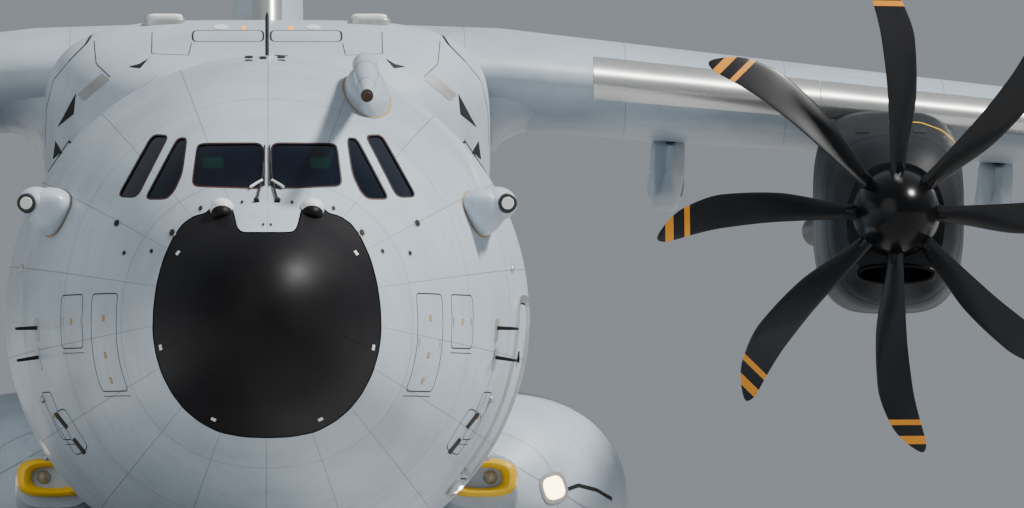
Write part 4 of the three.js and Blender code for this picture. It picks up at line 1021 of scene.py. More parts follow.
@dataclass
class Fuselage:
    """The nose and centre shells of the hull with their decks, bulkheads, openings and doors."""

    radome: Radome
    windows: Windows
    deck: Span = (1.96, 5.7)
    under: float = DECK_TOP - 0.11
    front_wall: float = 2.01
    doorway: Span = (0.4, 5.35)
    bay_half: float = 0.48
    bay_station: Span = (4.25, 5.9)
    bay_ceiling: float = 1.27
    bay_wall: float = 0.08
    crew_station: Span = (6.06, 7.0)
    crew_z: Span = (1.6, 3.45)
    crew_hinge_z: float = 1.65
    troop_station: Span = (25.05, 25.95)
    troop_z: Span = (1.64, 3.54)
    recess: float = 0.43
    frame_pitch: float = 0.9

    @staticmethod
    def grown(span: Span, gap: float) -> Span:
        """A span that is longer by a gap at each end."""
        return span[0] - gap, span[1] + gap

    def nose(self) -> None:
        """The shell ahead of the wing, with the flight deck's floor and rear wall and the wheel bay."""
        made = Blank(hull(0.0, NOSE_JOINT - 0.001, sides=256))
        made.cut(hull(self.front_wall, NOSE_JOINT + 1, WALL, 128), self.radome.prism(0.0),
                 *self.windows.holes())
        made.join(self.floor_slab(), self.rear_wall())
        bay = Solid.box((-self.bay_half, self.bay_half), self.bay_station, (0.0, self.bay_ceiling))
        made.cut(bay, Solid.box((1.0, 6.0), self.grown(self.crew_station, 0.016),
                                self.grown(self.crew_z, 0.016)))
        skin_piece("nose_shell", made, "nose_fuselage")
        self.bay_lining()

    def floor_slab(self) -> Solid:
        """The flight deck's floor, cut to the inside of the hull by its own outline."""
        stations = np.linspace(*self.deck, 40)
        rings = []
        for level in (self.under, DECK_TOP):
            reach = np.array([HULL.half_at(s, level) - WALL + 0.02 for s in stations])
            rings.append(np.vstack([place(reach, stations, level),
                                    place(-reach[::-1], stations[::-1], level)]))
        return Solid.through(rings)

    def rear_wall(self) -> Solid:
        """The wall behind the flight deck, with its doorway."""
        under, end = self.under, self.deck[1]
        arch = (HULL.points(turns(128), np.full(128, end), WALL - 0.02) / SCALE)[:, [0, 2]]
        arch = arch[arch[:, 1] >= under]
        arch = arch[np.argsort(np.arctan2(arch[:, 1] - under, arch[:, 0]))]
        half, top = self.doorway
        low = HULL.half_at(end, under) - WALL + 0.02
        door = [(-half, under), (-half, top), (half, top), (half, under)]
        return across(np.array([(low, under), *map(tuple, arch), (-low, under), *door]),
                      (end - 0.1, end - 0.002))

    def bay_lining(self) -> None:
        """The nose wheel bay's walls and ceiling: loops up the inside, over the foot and up the outside."""
        rings = []
        for grow, height in ((0.002, self.bay_ceiling), (0.002, None), (self.bay_wall, None),
                             (self.bay_wall, 1.35)):
            half, (start, end) = self.bay_half + grow, self.grown(self.bay_station, grow)
            corners = np.array([(-half, start), (half, start), (half, end), (-half, end)])
            share = np.linspace(0, 1, 24, endpoint=False)[None, :, None]
            loop = corners[:, None] + share * (np.roll(corners, -1, axis=0) - corners)[:, None]
            x, station = loop.reshape(-1, 2).T
            if height is None:
                half, bottom, middle, power = (HULL.sizes(station)[i] for i in (1, 3, 4, 5))
                share = np.clip(1 - (np.abs(x) / half) ** power, 0, 1) ** (1 / power)
                height = middle - (middle - bottom - 0.03) * share
            rings.append(place(x, station, height))
        piece("nose_bay_lining", Solid.through(rings), BAY)

    def centre(self) -> None:
        """The shell round the hold, with the two troop doors' openings, and the ring frames inside it."""
        made = Blank(hull(NOSE_JOINT + 0.001, AFT_JOINT - 0.001, sides=256, pitch=0.4))
        made.cut(hull(NOSE_JOINT - 1, AFT_JOINT + 1, WALL, 128, 0.4),
                 Solid.box((-6, 6), self.troop_station, self.troop_z),
                 cross_rod(0, 2.1, AFT_JOINT, 1.25, self.recess, 64))
        skin_piece("centre_shell", made, "centre_fuselage")
        frames = []
        for station in np.arange(NOSE_JOINT + 0.4, 24.3, self.frame_pitch):
            edges = [HULL.points(turns(96), np.full(96, station), WALL + depth) for depth in (-0.02, 0.09)]
            frames.append(Solid.sheet(np.stack(edges), 0.03, around=True))
        piece("hold_frames", Solid.joined(frames), INSIDE, TRIM)

    def wall_piece(self, box: Solid, station: Span) -> Blank:
        """The part of the hull's wall that lies in a box."""
        start, end = station
        made = Blank(hull(start - 0.3, end + 0.3, sides=256, pitch=0.1)).keep(box)
        return made.cut(hull(start - 0.8, end + 0.8, WALL, 128, pitch=0.2))

    def crew_door(self) -> None:
        """The crew door with its treads, its hinge and its handle."""
        (start, end), (low, high), name = self.crew_station, self.crew_z, "crew_door"
        box = Solid.box((1.0, 6.0), self.crew_station, self.crew_z)
        skin_piece("crew_door_skin", self.wall_piece(box, self.crew_station), name, name)
        middle = sum(self.crew_station) / 2
        treads = []
        for level in np.linspace(low + 0.154, high - 0.154, 6):
            reach = HULL.half_at(middle, level) - WALL
            treads.append(Solid.box((reach - 0.15, reach + 0.005), (start + 0.13, end - 0.13),
                                    (level - 0.02, level + 0.02)))
        piece("crew_door_treads", Solid.joined(treads), FLOOR, FLOOR_SLOT, name)
        x = HULL.half_at(middle, self.crew_hinge_z) + 0.006
        hinge = cylinder((x, start - 0.014, self.crew_hinge_z), (x, end + 0.014, self.crew_hinge_z), 0.026)
        piece("crew_door_hinge_tube", hinge, PLAIN_SKIN, "skin", name)
        out = HULL.half_at(middle, 2.9)
        plate = Solid.box((out - 0.004, out + 0.008), (middle - 0.11, middle + 0.11), (2.83, 2.95))
        piece("crew_door_handle", plate, DARK, "skin", name)

    def build(self) -> None:
        """Build the shells and the doors in their sides."""
        self.nose()
        self.centre()
        self.crew_door()
        box = Solid.box((1.0, 6.0), self.grown(self.troop_station, -0.004), self.grown(self.troop_z, -0.004))
        for side in BOTH:
            made = self.wall_piece(box.on(side), self.troop_station)
            skin_piece(f"troop_door_skin_{side.word}", made, f"paratroop_door_{side.word}")


@dataclass
class RearOpening:
    """The tail's shell with its cut-outs, the loading ramp, the cargo door and the hold's floor."""

    half: float = 1.96
    hinge_z: float = 1.25
    tip: float = 31.78
    corner_z: float = 2.27
    tip_z: float = 2.9
    lean: float = 0.28
    recess: float = 0.43
    lugs: Span = (-1.0, 1.0)
    door_end: float = 37.15
    door_back: float = 1.0
    door_hinge_z: float = 4.3
    door_top: float = 4.6
    door_lugs: Span = (-0.7, 0.7)
    gap: float = 0.016

    def ramp_prism(self, gap: float) -> Solid:
        """The ramp's outline from the side, across the whole opening."""
        start, end = AFT_JOINT - (0.2 if gap else 0.0), self.tip + gap
        outline = [(start, 0), (end, 0), (end, self.corner_z),
                   (end - self.lean, self.tip_z + gap), (start, FLOOR_TOP + gap)]
        return sideways(np.array(outline), (-self.half - gap, self.half + gap))

    def door_prism(self, gap: float) -> Solid:
        """The door's outline from above, from under the hull to its flanks."""
        rings = []
        for z in (0.0, self.corner_z, self.door_top):
            forward = max(z - self.corner_z, 0) * self.lean / (self.tip_z - self.corner_z)
            start, end = self.tip + 2 * self.gap - gap - forward, self.door_end + gap
            front, back = self.half + gap, self.door_back + gap
            x, station = np.array([(front, start), (back, end), (-back, end), (-front, start)]).T
            rings.append(place(x, station, z))
        return Solid.through(rings)

    def rods(self, half: float, radius: float) -> list[Solid]:
        """A rod on the ramp's hinge line at each lug."""
        return [cross_rod(x, half, AFT_JOINT, self.hinge_z, radius) for x in self.lugs]

    def shell(self) -> None:
        """The tail's shell, and the wall behind the door with its hinge blocks."""
        hinge = cross_rod(0, 1.5, AFT_JOINT, self.hinge_z, self.recess, 64)
        made = Blank(hull(AFT_JOINT + 0.001, 42.6, sides=256, pitch=0.15))
        made.cut(hull(AFT_JOINT - 1, 41.5, WALL, 128, 0.3), self.ramp_prism(self.gap),
                 self.door_prism(self.gap), hinge)
        skin_piece("tail_shell", made, "aft_fuselage")
        end, z = self.door_end, self.door_hinge_z
        parts = [hull(end + 0.12, end + 0.22, WALL - 0.02, 128, 0.05)]
        for x in self.door_lugs:
            parts += [Solid.box((x - 0.04, x + 0.04), (end, end + 0.14), (z - 0.09, z + 0.09)),
                      cross_rod(x, 0.04, end, z, 0.09)]
        piece("tail_wall", Solid.joined(parts), INSIDE, TRIM)

    def ramp(self) -> None:
        """The ramp: the hull's underside below, a tread plate above, and its hinge tube."""
        made = Blank(hull(AFT_JOINT - 0.5, self.tip + 0.5, sides=256, pitch=0.1)).keep(self.ramp_prism(0.0))
        made.join(cross_rod(0, 1.35, AFT_JOINT, self.hinge_z, 0.08))
        made.cut(*self.rods(0.076, 0.132)).join(*self.rods(0.09, 0.04))
        skin_piece("ramp_shell", made, "cargo_ramp", "cargo_ramp")
        top = self.tip - self.lean
        rise = math.tan(math.atan2(self.tip_z - FLOOR_TOP, top - AFT_JOINT))
        bars = []
        for s in np.linspace(AFT_JOINT + 0.25, top - 0.15, 26):
            z = FLOOR_TOP + (s - AFT_JOINT) * rise
            bars.append(Solid.box((-1.7, 1.7), (s, s + 0.04), (z - 0.005, z + 0.022)))
        piece("ramp_treads", Solid.joined(bars), FLOOR, FLOOR_SLOT, "cargo_ramp")

    def door(self) -> None:
        """The cargo door's skin, and the plates of its hinge."""
        end, z = self.door_end, self.door_hinge_z
        made = Blank(hull(self.tip - 1.5, end + 0.5, sides=256, pitch=0.1)).keep(self.door_prism(0.0))
        made.cut(hull(self.tip - 2.0, end + 1.0, WALL, 128, 0.2))
        skin_piece("cargo_door_shell", made, "cargo_door", "cargo_door")
        outline = np.array([(end - 1.3, 3.45), (end - 0.5, 3.7), (end + 0.06, z - 0.06),
                            (end + 0.06, z + 0.06),
                            (end - 0.06, z + 0.06)])
        plates = [sideways(outline, (x + s * 0.086 - 0.03, x + s * 0.086 + 0.03))
                  for x in self.door_lugs for s in (-1, 1)]
        inside = Blank(hull(self.tip, end + 0.4, WALL - 0.01, 96, 0.2)).solid()
        arms = Blank(plates[0]).join(*plates[1:]).keep(inside)
        arms.join(*(cross_rod(x, 0.1, end, z, 0.03) for x in self.door_lugs))
        piece("cargo_door_arms", arms, GEAR, STEEL, "cargo_door")

    def floor(self) -> None:
        """The hold's floor with the ramp's lugs, and its roller tracks."""
        end, low = AFT_JOINT - 0.06, FLOOR_TOP - 0.12
        made = Blank(Solid.box((-2.2, 2.2), (5.8, end), (FLOOR_TOP - 0.13, FLOOR_TOP)))
        made.keep(hull(5.0, AFT_JOINT + 0.5, WALL + 0.001, 128, 0.3))
        outline = np.array([(end - 0.25, low), (AFT_JOINT, self.hinge_z - 0.09),
                            (AFT_JOINT, self.hinge_z + 0.09),
                            (end - 0.001, low)])
        plates = [sideways(outline, (x - 0.06, x + 0.06)) for x in self.lugs]
        made.join(*(part for both in zip(plates, self.rods(0.06, 0.1)) for part in both))
        made.cut(*self.rods(0.061, 0.042))
        piece("hold_floor", made, FLOOR, FLOOR_SLOT, node="cargo_floor")
        tracks = [Solid.box((x - 0.05, x + 0.05), (6.4, end - 0.3), (FLOOR_TOP + 0.0005, FLOOR_TOP + 0.008))
                  for x in (-1.2, -0.4, 0.4, 1.2)]
        piece("floor_tracks", Solid.joined(tracks), HUB, FLOOR_SLOT)

    def build(self) -> None:
        """Build the rear of the aeroplane."""
        self.shell()
        self.ramp()
        self.door()
        self.floor()


def aerofoil(share: np.ndarray) -> np.ndarray:
    """Half thickness at shares of the chord for a thickness of one chord: the 4-digit series."""
    series = 0.2969 * np.sqrt(share) - 0.126 * share - 0.3516 * share**2
    return 5 * (series + 0.2843 * share**3 - 0.1015 * share**4)


@dataclass(frozen=True)
class Surface:
    """A lifting surface: how its leading edge, chord and thickness run along its span, full size.

    span are the places where the chord and thickness are given, lead the leading edge's station at
    place 0 and its slope, level the height at place 0, drop how it falls past the kink, and upright
    is True for the fin, whose span is upwards.
    """

    span: Span
    chords: Span
    thick: Span
    lead: Span
    level: float = 0.0
    drop: float = 0.0
    kink: float = 0.0
    camber: float = 0.0
    incidence: float = 0.0
    upright: bool = False

    def along(self, pair: Span, out: np.ndarray) -> np.ndarray:
        """A quantity that runs straight between the ends of the span."""
        (first, last), (start, end) = pair, self.span
        return first + (last - first) * (np.asarray(out, float) - start) / (end - start)

    def chord(self, out: float) -> float:
        """The chord at a place along the span, in model metres."""
        return float(self.along(self.chords, out)) * SCALE

    def point(self, out: np.ndarray, share: np.ndarray, skin: np.ndarray, grow: float = 0.0) -> np.ndarray:
        """Model points on or between the skins.

        Args:
            out: the place along the span.
            share: 0 at the leading edge and 1 at the trailing edge.
            skin: 1 for the upper skin, -1 for the lower, 0 for the middle.
            grow: how far outside the skin, full size.
        """
        out, share, skin = np.broadcast_arrays(np.asarray(out, float), share, skin)
        chord = self.along(self.chords, out)
        bow = self.camber * 4 * share * (1 - share) * chord
        rise = bow + skin * (self.along(self.thick, out) * aerofoil(share) * chord + grow)
        aft = share * (chord + 2 * grow) - grow
        station = self.lead[0] + self.lead[1] * out + aft
        if self.upright:
            return place(rise, station, out)
        return place(out, station,
                     self.level - self.drop * np.maximum(out, self.kink) - self.incidence * aft + rise)

    def solid(self, places: np.ndarray, grow: float = 0.0, marks: tuple = (), tip: float = 0.0) -> Solid:
        """The whole surface through places along the span.

        Args:
            places: the span's places.
            grow: how far outside the skin.
            marks: shares of the chord that must have a row of points.
            tip: how much of the span's end is rounded off, by a quarter circle in thickness.
        """
        if tip:
            end = places[-1]
            places = np.append(places[places < end - tip], end - tip * (1 - np.sin(np.linspace(0, 1.55, 14))))
        share = np.unique(np.append((1 - np.cos(np.linspace(0, np.pi, 48))) / 2, marks))
        loop = np.concatenate([share[::-1], share[1:]])
        skin = np.concatenate([np.ones(len(share)), -np.ones(len(share) - 1)])
        past = np.clip((places - (places[-1] - tip)) / tip, 0, 1) if tip else np.zeros(len(places))
        flat = np.sqrt(1 - past**2)
        return Solid.through(self.point(places[:, None], loop[None, :], skin[None, :] * flat[:, None], grow))

    def edge(self, start: float, end: float, count: int, shares: np.ndarray, skin: np.ndarray) -> Solid:
        """A thin metal sheet round the leading edge, between two places along the span."""
        out = np.linspace(start, end, count)[:, None]
        return Solid.sheet(self.point(out, shares[None, :], skin[None, :], 0.004), -0.0025)


WING = Surface((1.5, 21.2), (7.47, 2.95), (0.158, 0.115), (14.2, 0.3153), 6.34, 0.0835, 2.6, 0.018, 0.05)
FIN = Surface((5.5, 14.0), (8.7, 5.15), (0.11, 0.115), (31.9 - 0.65 * 5.5, 0.65), upright=True)
TAILPLANE = Surface((0.0, 8.6), (5.005, 2.2), (0.11, 0.11), (37.935, 0.5774), 14.23)


def wing_places(count: int) -> np.ndarray:
    """Places along the wing's span, some inside the hull and the rest evenly from the kink to the tip."""
    return np.concatenate([np.linspace(1.5, 2.6, 4, endpoint=False), np.linspace(2.6, 21.2, count)])


class HingeLine:
    """A hinge's own frame: along it, aft of it, and lift towards a side."""

    def __init__(self, start: np.ndarray, end: np.ndarray, side: np.ndarray) -> None:
        """Set the frame up from two model points and the way that counts as up."""
        self.start, self.length = start, float(np.linalg.norm(end - start))
        self.line = (end - start) / self.length
        aft = unit(np.cross(side, self.line))
        self.aft = aft * np.sign(aft[1])
        up = unit(np.cross(self.line, self.aft))
        self.up = up * np.sign(up @ side)
        self.slant = self.line[1] / self.aft[1]

    def point(self, along: np.ndarray, aft: np.ndarray, lift: np.ndarray) -> np.ndarray:
        """Model points from model distances in the hinge's frame."""
        parts = [np.asarray(v, float)[..., None] for v in (along, aft, lift)]
        return self.start + parts[0] * self.line + parts[1] * self.aft + parts[2] * self.up

    def plate(self, along: Span, outline: np.ndarray) -> Solid:
        """A plate square to the hinge from an outline of aft and lift."""
        aft, lift = np.asarray(outline, float).T
        return Solid.through([self.point(np.full(len(aft), a), aft, lift) for a in along])

    def rod(self, along: Span, radius: float | Span, sides: int = 64) -> Solid:
        """A rod along the hinge, or a cone if it has two radii."""
        first, last = np.broadcast_to(radius, 2)
        return Solid.lathe([(along[0], first), (along[1], last)], self.start, self.line, sides)

    def at_x(self, x: float) -> float:
        """How far along the hinge a full-size x lies."""
        return float((x * SCALE - self.start[0]) / self.line[0])


BEHIND = 2.5 * np.array([(0, -1), (1, -1), (1, 1), (0, 1)], float)
RUNNING = 0.008


@dataclass
class Control:
    """A control surface hinged in the middle of the thickness of the surface ahead of it."""

    surface: Surface
    span: Span
    share: float

    def split(self, fixed: Blank, whole: Solid) -> Blank:
        """Cut the cove out of the fixed part and return the control with its half-round nose."""
        surface, out = self.surface, np.array(self.span)
        ends = [surface.point(o, self.share, 0.0) for o in self.span]
        hinge = HingeLine(*ends, PORT if surface.upright else UP)
        chords = surface.along(surface.chords, out)
        radii = surface.along(surface.thick, out) * aerofoil(self.share) * chords * SCALE
        wide = (-RUNNING, hinge.length + RUNNING)
        moving = Blank(whole).keep(hinge.plate((0.0, hinge.length), BEHIND))
        moving.join(hinge.rod((0.0, hinge.length), radii * 0.985))
        fixed.cut(hinge.plate(wide, BEHIND), hinge.rod(wide, radii + 1.4 * RUNNING))
        return moving


@dataclass
class Wings:
    """The two wings with their flaps, ailerons, fairings and bare metal leading edges.

    flaps holds each flap's name, the x of its ends and the x of its two arms.  The sizes of the arms,
    their hubs and their fairings (arm_half to depth) are in model metres.
    """

    flaps: tuple[tuple[str, Span, Span], ...] = (
        ("inner", (3.3, 9.0), (4.53, 8.28)), ("outer", (9.08, 15.3), (10.3, 14.5)))
    hinge_share: float = 0.6
    hinge_drop: float = 0.075
    arc: float = 0.21
    slot_top: float = 0.062
    arm_half: float = 0.025
    arm_bend: float = 0.07
    hub: float = 0.06
    cheek: float = 0.095
    depth: float = 0.15
    aileron: Control = field(default_factory=lambda: Control(WING, (15.5, 20.3), 0.74))
    edge_starts: tuple[float, ...] = (3.64, 6.2, 8.7, 11.2, 13.7, 16.2, 18.7, 20.95)
    edge_upper: float = 0.042
    edge_lower: float = 0.014

    def hinge(self) -> HingeLine:
        """The line below the wing that both flaps of a side swing about."""
        return HingeLine(*(WING.point(x, self.hinge_share, -1.0) - UP * self.hinge_drop * WING.chord(x)
                           for x in (self.flaps[0][1][0], self.flaps[1][1][1])), UP)

    def pod(self, hinge: HingeLine, along: float, rows: list[tuple[float, ...]]) -> Solid:
        """A fairing through sections square to the hinge, flat above and round below.

        Args:
            hinge: the flap's hinge.
            along: where on the hinge its middle is.
            rows: aft, half width, low and high of each section, in model metres.
        """
        shape = rounded([(-0.7, 0), (-1, 0.3), (-1, 1), (1, 1), (1, 0.3), (0.7, 0)], 0.4, 6)
        table = Table("aft half low high", [(i, *row) for i, row in enumerate(rows)])
        share = np.linspace(0, len(rows) - 1, 6 * (len(rows) - 1) + 1)
        rings = []
        for aft, half, low, high in zip(*(table.value(name, share) for name in table.columns)):
            aside = along + aft * hinge.slant + shape[:, 0] * half
            rings.append(hinge.point(aside, np.full(len(shape), aft), low + (high - low) * shape[:, 1]))
        return Solid.through(rings)

    def fairing(self, hinge: HingeLine, along: float, chord: float) -> tuple[Solid, Solid]:
        """The fixed front half of an arm's fairing, and the tail that moves with the flap."""
        cheek, depth = self.cheek, self.depth
        front = self.pod(hinge, along, [
            (-0.24 * chord, 0.02, 0.02 * chord, 0.06 * chord),
            (-0.2 * chord, 0.055, -0.01 * chord, 0.07 * chord),
            (-0.13 * chord, cheek, -0.03 * chord, 0.08 * chord), (0, cheek, -depth, 0.08 * chord)])
        rear = self.pod(hinge, along, [
            (self.hub + 2 * RUNNING, 0.93 * cheek, -0.45 * depth, 0.045 * chord),
            (0.13 * chord, 0.9 * cheek, -0.7 * depth, 0.05 * chord),
            (0.21 * chord, 0.75 * cheek, -0.45 * depth, 0.062 * chord),
            (0.28 * chord, 0.6 * cheek, -0.1 * depth, 0.09 * chord),
            (0.43 * chord, 0.01, 0.055 * chord, 0.065 * chord)])
        return front, rear

    def arm(self, hinge: HingeLine, sides: Span, chord: float) -> list[Solid]:
        """What joins a flap to its hinge: a plate as far as its bend, a bar straight aft, and the hub."""
        bend = self.arm_bend
        root = hinge.plate(sides, np.array([(-0.02, -0.04), (bend, -0.04), (bend, 0.04), (-0.02, 0.04)]))
        aft, lift = np.array([
            (bend, -0.04), (0.16 * chord, -0.04), (0.3 * chord, 0.085 * chord), (0.24 * chord, 0.1 * chord),
            (0.19 * chord, 0.06 * chord), (bend, 0.04)]).T
        bar = Solid.through([hinge.point(side + (aft - bend) * hinge.slant, aft, lift) for side in sides])
        return [root, bar, hinge.rod(sides, self.hub - 0.01 * SCALE)]

    def flap(self, wing: Blank, whole: Solid, hinge: HingeLine, span: Span, arms: Span) -> list[Solid]:
        """Cut one flap's opening into the wing.

        Args:
            wing: the fixed wing.
            whole: the wing before anything is cut.
            hinge: the flap's hinge.
            span: the x of its ends.
            arms: the x of its arms.

        Returns:
            The flap, the fairings' tails, the arms, and the fairings' fixed fronts.
        """
        ends = [hinge.at_x(x) for x in span]
        wide = (ends[0] - RUNNING, ends[1] + RUNNING)
        radii = np.array([self.arc * WING.chord(hinge.point(a, 0, 0)[0] / SCALE) for a in ends])
        moving = Blank(whole).keep(hinge.plate(tuple(ends), BEHIND))
        moving.cut(hinge.rod(wide, radii + RUNNING, 256))
        behind = Blank(hinge.plate(wide, BEHIND)).cut(hinge.rod((wide[0] - 0.01, wide[1] + 0.01), radii, 256))
        wing.cut(behind.solid())
        bars, fronts, tails = [], [], []
        for x in arms:
            along, chord = hinge.at_x(x), WING.chord(x)
            sides = (along - self.arm_half, along + self.arm_half)
            slot = (sides[0] - RUNNING, sides[1] + RUNNING)
            top = self.slot_top * chord
            cut = [hinge.rod(slot, self.hub + RUNNING),
                   hinge.plate(slot, np.array([(0, -2.5), (2.5, -2.5), (2.5, top), (0, top)]))]
            wing.cut(*cut)
            front, rear = self.fairing(hinge, along, chord)
            body = Blank(front).join(hinge.rod((along - self.cheek, along + self.cheek), self.hub)).cut(*cut)
            fronts.append(body.solid())
            bars += self.arm(hinge, sides, chord)
            tails.append(rear)
        return [moving.solid(), *(Solid.joined(parts) for parts in (tails, bars, fronts))]

    def build(self) -> None:
        """Build the port side's solids and make each a piece on both sides."""
        whole, hinge = WING.solid(wing_places(64), tip=0.3), self.hinge()
        wing = Blank(whole).cut(hull(10.0, 27.0, -0.001, pitch=0.5))
        made = []
        for name, span, arms in self.flaps:
            flap, tails, bars, fronts = self.flap(wing, whole, hinge, span, arms)
            body = f"flap_{name}"
            made += [(body, flap, WING_SKIN, body, body), (f"{body}_fairings", tails, PLAIN_SKIN, body, None),
                     (f"{body}_arms", bars, GEAR, body, None),
                     (f"wing_{name}_fairings", fronts, PLAIN_SKIN, None, None)]
        aileron = self.aileron.split(wing, whole).solid()
        made += [("aileron", aileron, WING_SKIN, "aileron", "aileron"),
                 ("wing", wing.solid(), WING_SKIN, None, "wing")]
        for name, solid, finish, body, node in made:
            for side in BOTH:
                piece(f"{name}_{side.word}_shell", solid.on(side), finish, COMPOSITE,
                      f"{body}_{side.word}" if body else ROOT, f"{node}_{side.word}" if node else None, 24.0)
        around = np.linspace(-1, 1, 29)
        shares = np.where(around < 0, self.edge_lower, self.edge_upper) * around**2
        edges = [WING.edge(start, end - 0.012, 16, shares, np.sign(around))
                 for start, end in zip(self.edge_starts[:-1], self.edge_starts[1:])]
        pair("leading_edge", edges, EDGE_METAL, COMPOSITE)


@dataclass
class Fairing:
    """The fairing over the crown that carries the wing."""

    rows: tuple[tuple[float, ...], ...] = (
        (11.3, 1.3, 6.06, 4.3, 5.3, 3.0), (12.6, 2.15, 6.42, 4.3, 5.3, 3.4), (14.2, 2.47, 6.7, 4.3, 5.3, 4.0),
        (16.5, 2.48, 6.745, 4.3, 5.3, 4.0), (21.0, 2.48, 6.6, 4.3, 5.3, 3.6),
        (23.6, 2.25, 6.33, 4.3, 5.3, 3.2),
        (25.8, 1.3, 6.06, 4.3, 5.3, 3.0))

    def build(self) -> None:
        """Make the fairing over the hull."""
        body = Blank(Pod(self.rows).mesh(spaced([11.3, 14.2, 21.0, 25.8], 0.12), 160))
        body.cut(hull(9.0, 28.0, -0.0005, pitch=0.5))
        piece("wing_fairing_shell", body, PLAIN_SKIN, COMPOSITE, node="wing_fairing", degrees=35)


@dataclass
class Tail:
    """The fin with its rudder, and the tailplane on it with its elevators and bullet."""

    rudder: Control = field(default_factory=lambda: Control(FIN, (7.15, 13.25), 0.68))
    elevator: Control = field(default_factory=lambda: Control(TAILPLANE, (1.25, 8.25), 0.68))
    bullet: Spot = (0.0, 40.0, 14.17)
    bullet_radii: Spot = (0.4, 3.3, 0.43)

    def build(self) -> None:
        """Make the fin, the rudder, the tailplane, the elevators, and the bare metal edges in front."""
        whole = FIN.solid(np.linspace(5.5, 14.0, 60), marks=(0.03,))
        fin = Blank(whole).cut(hull(28.0, 42.6, -0.0005, pitch=0.4))
        rudder = self.rudder.split(fin, whole)
        piece("fin_shell", fin, FIN_SKIN, COMPOSITE, node="fin", degrees=24)
        piece("rudder_shell", rudder, FIN_SKIN, COMPOSITE, "rudder", "rudder", 24)
        half = TAILPLANE.solid(np.linspace(0, 8.6, 60), tip=0.2)
        fixed = Blank(half)
        elevator = self.elevator.split(fixed, half).solid()
        port = fixed.solid()
        halves = Blank(port).join(port.on(Side.RIGHT), ellipsoid(self.bullet, self.bullet_radii, 96))
        piece("tailplane_shell", halves, WING_SKIN, COMPOSITE, node="tailplane", degrees=26)
        for side in BOTH:
            name = f"elevator_{side.word}"
            piece(f"{name}_shell", elevator.on(side), WING_SKIN, COMPOSITE, name, name, 24)
        around = np.linspace(-1, 1, 25)
        shares, skin = 0.02 * around**2, np.sign(around)
        piece("fin_edge", FIN.edge(6.6, 13.6, 40, shares, skin), EDGE_METAL, COMPOSITE)
        pair("tailplane_edge", TAILPLANE.edge(0.55, 8.3, 40, shares, skin), EDGE_METAL, COMPOSITE)


@dataclass(frozen=True)
class Engine:
    """Where an engine is on the port side, and which way its propeller's blades lean."""

    name: str
    x: float
    station: float
    z: float
    hand: int

    def pod(self, rows: tuple[tuple[float, ...], ...]) -> Pod:
        """A body whose rows are measured from the propeller's centre."""
        return Pod(rows, self.x, self.station, self.z)


ENGINES = (Engine("inner", 6.94, 13.15, 4.55, 1), Engine("outer", 12.7, 14.96, 4.08, -1))


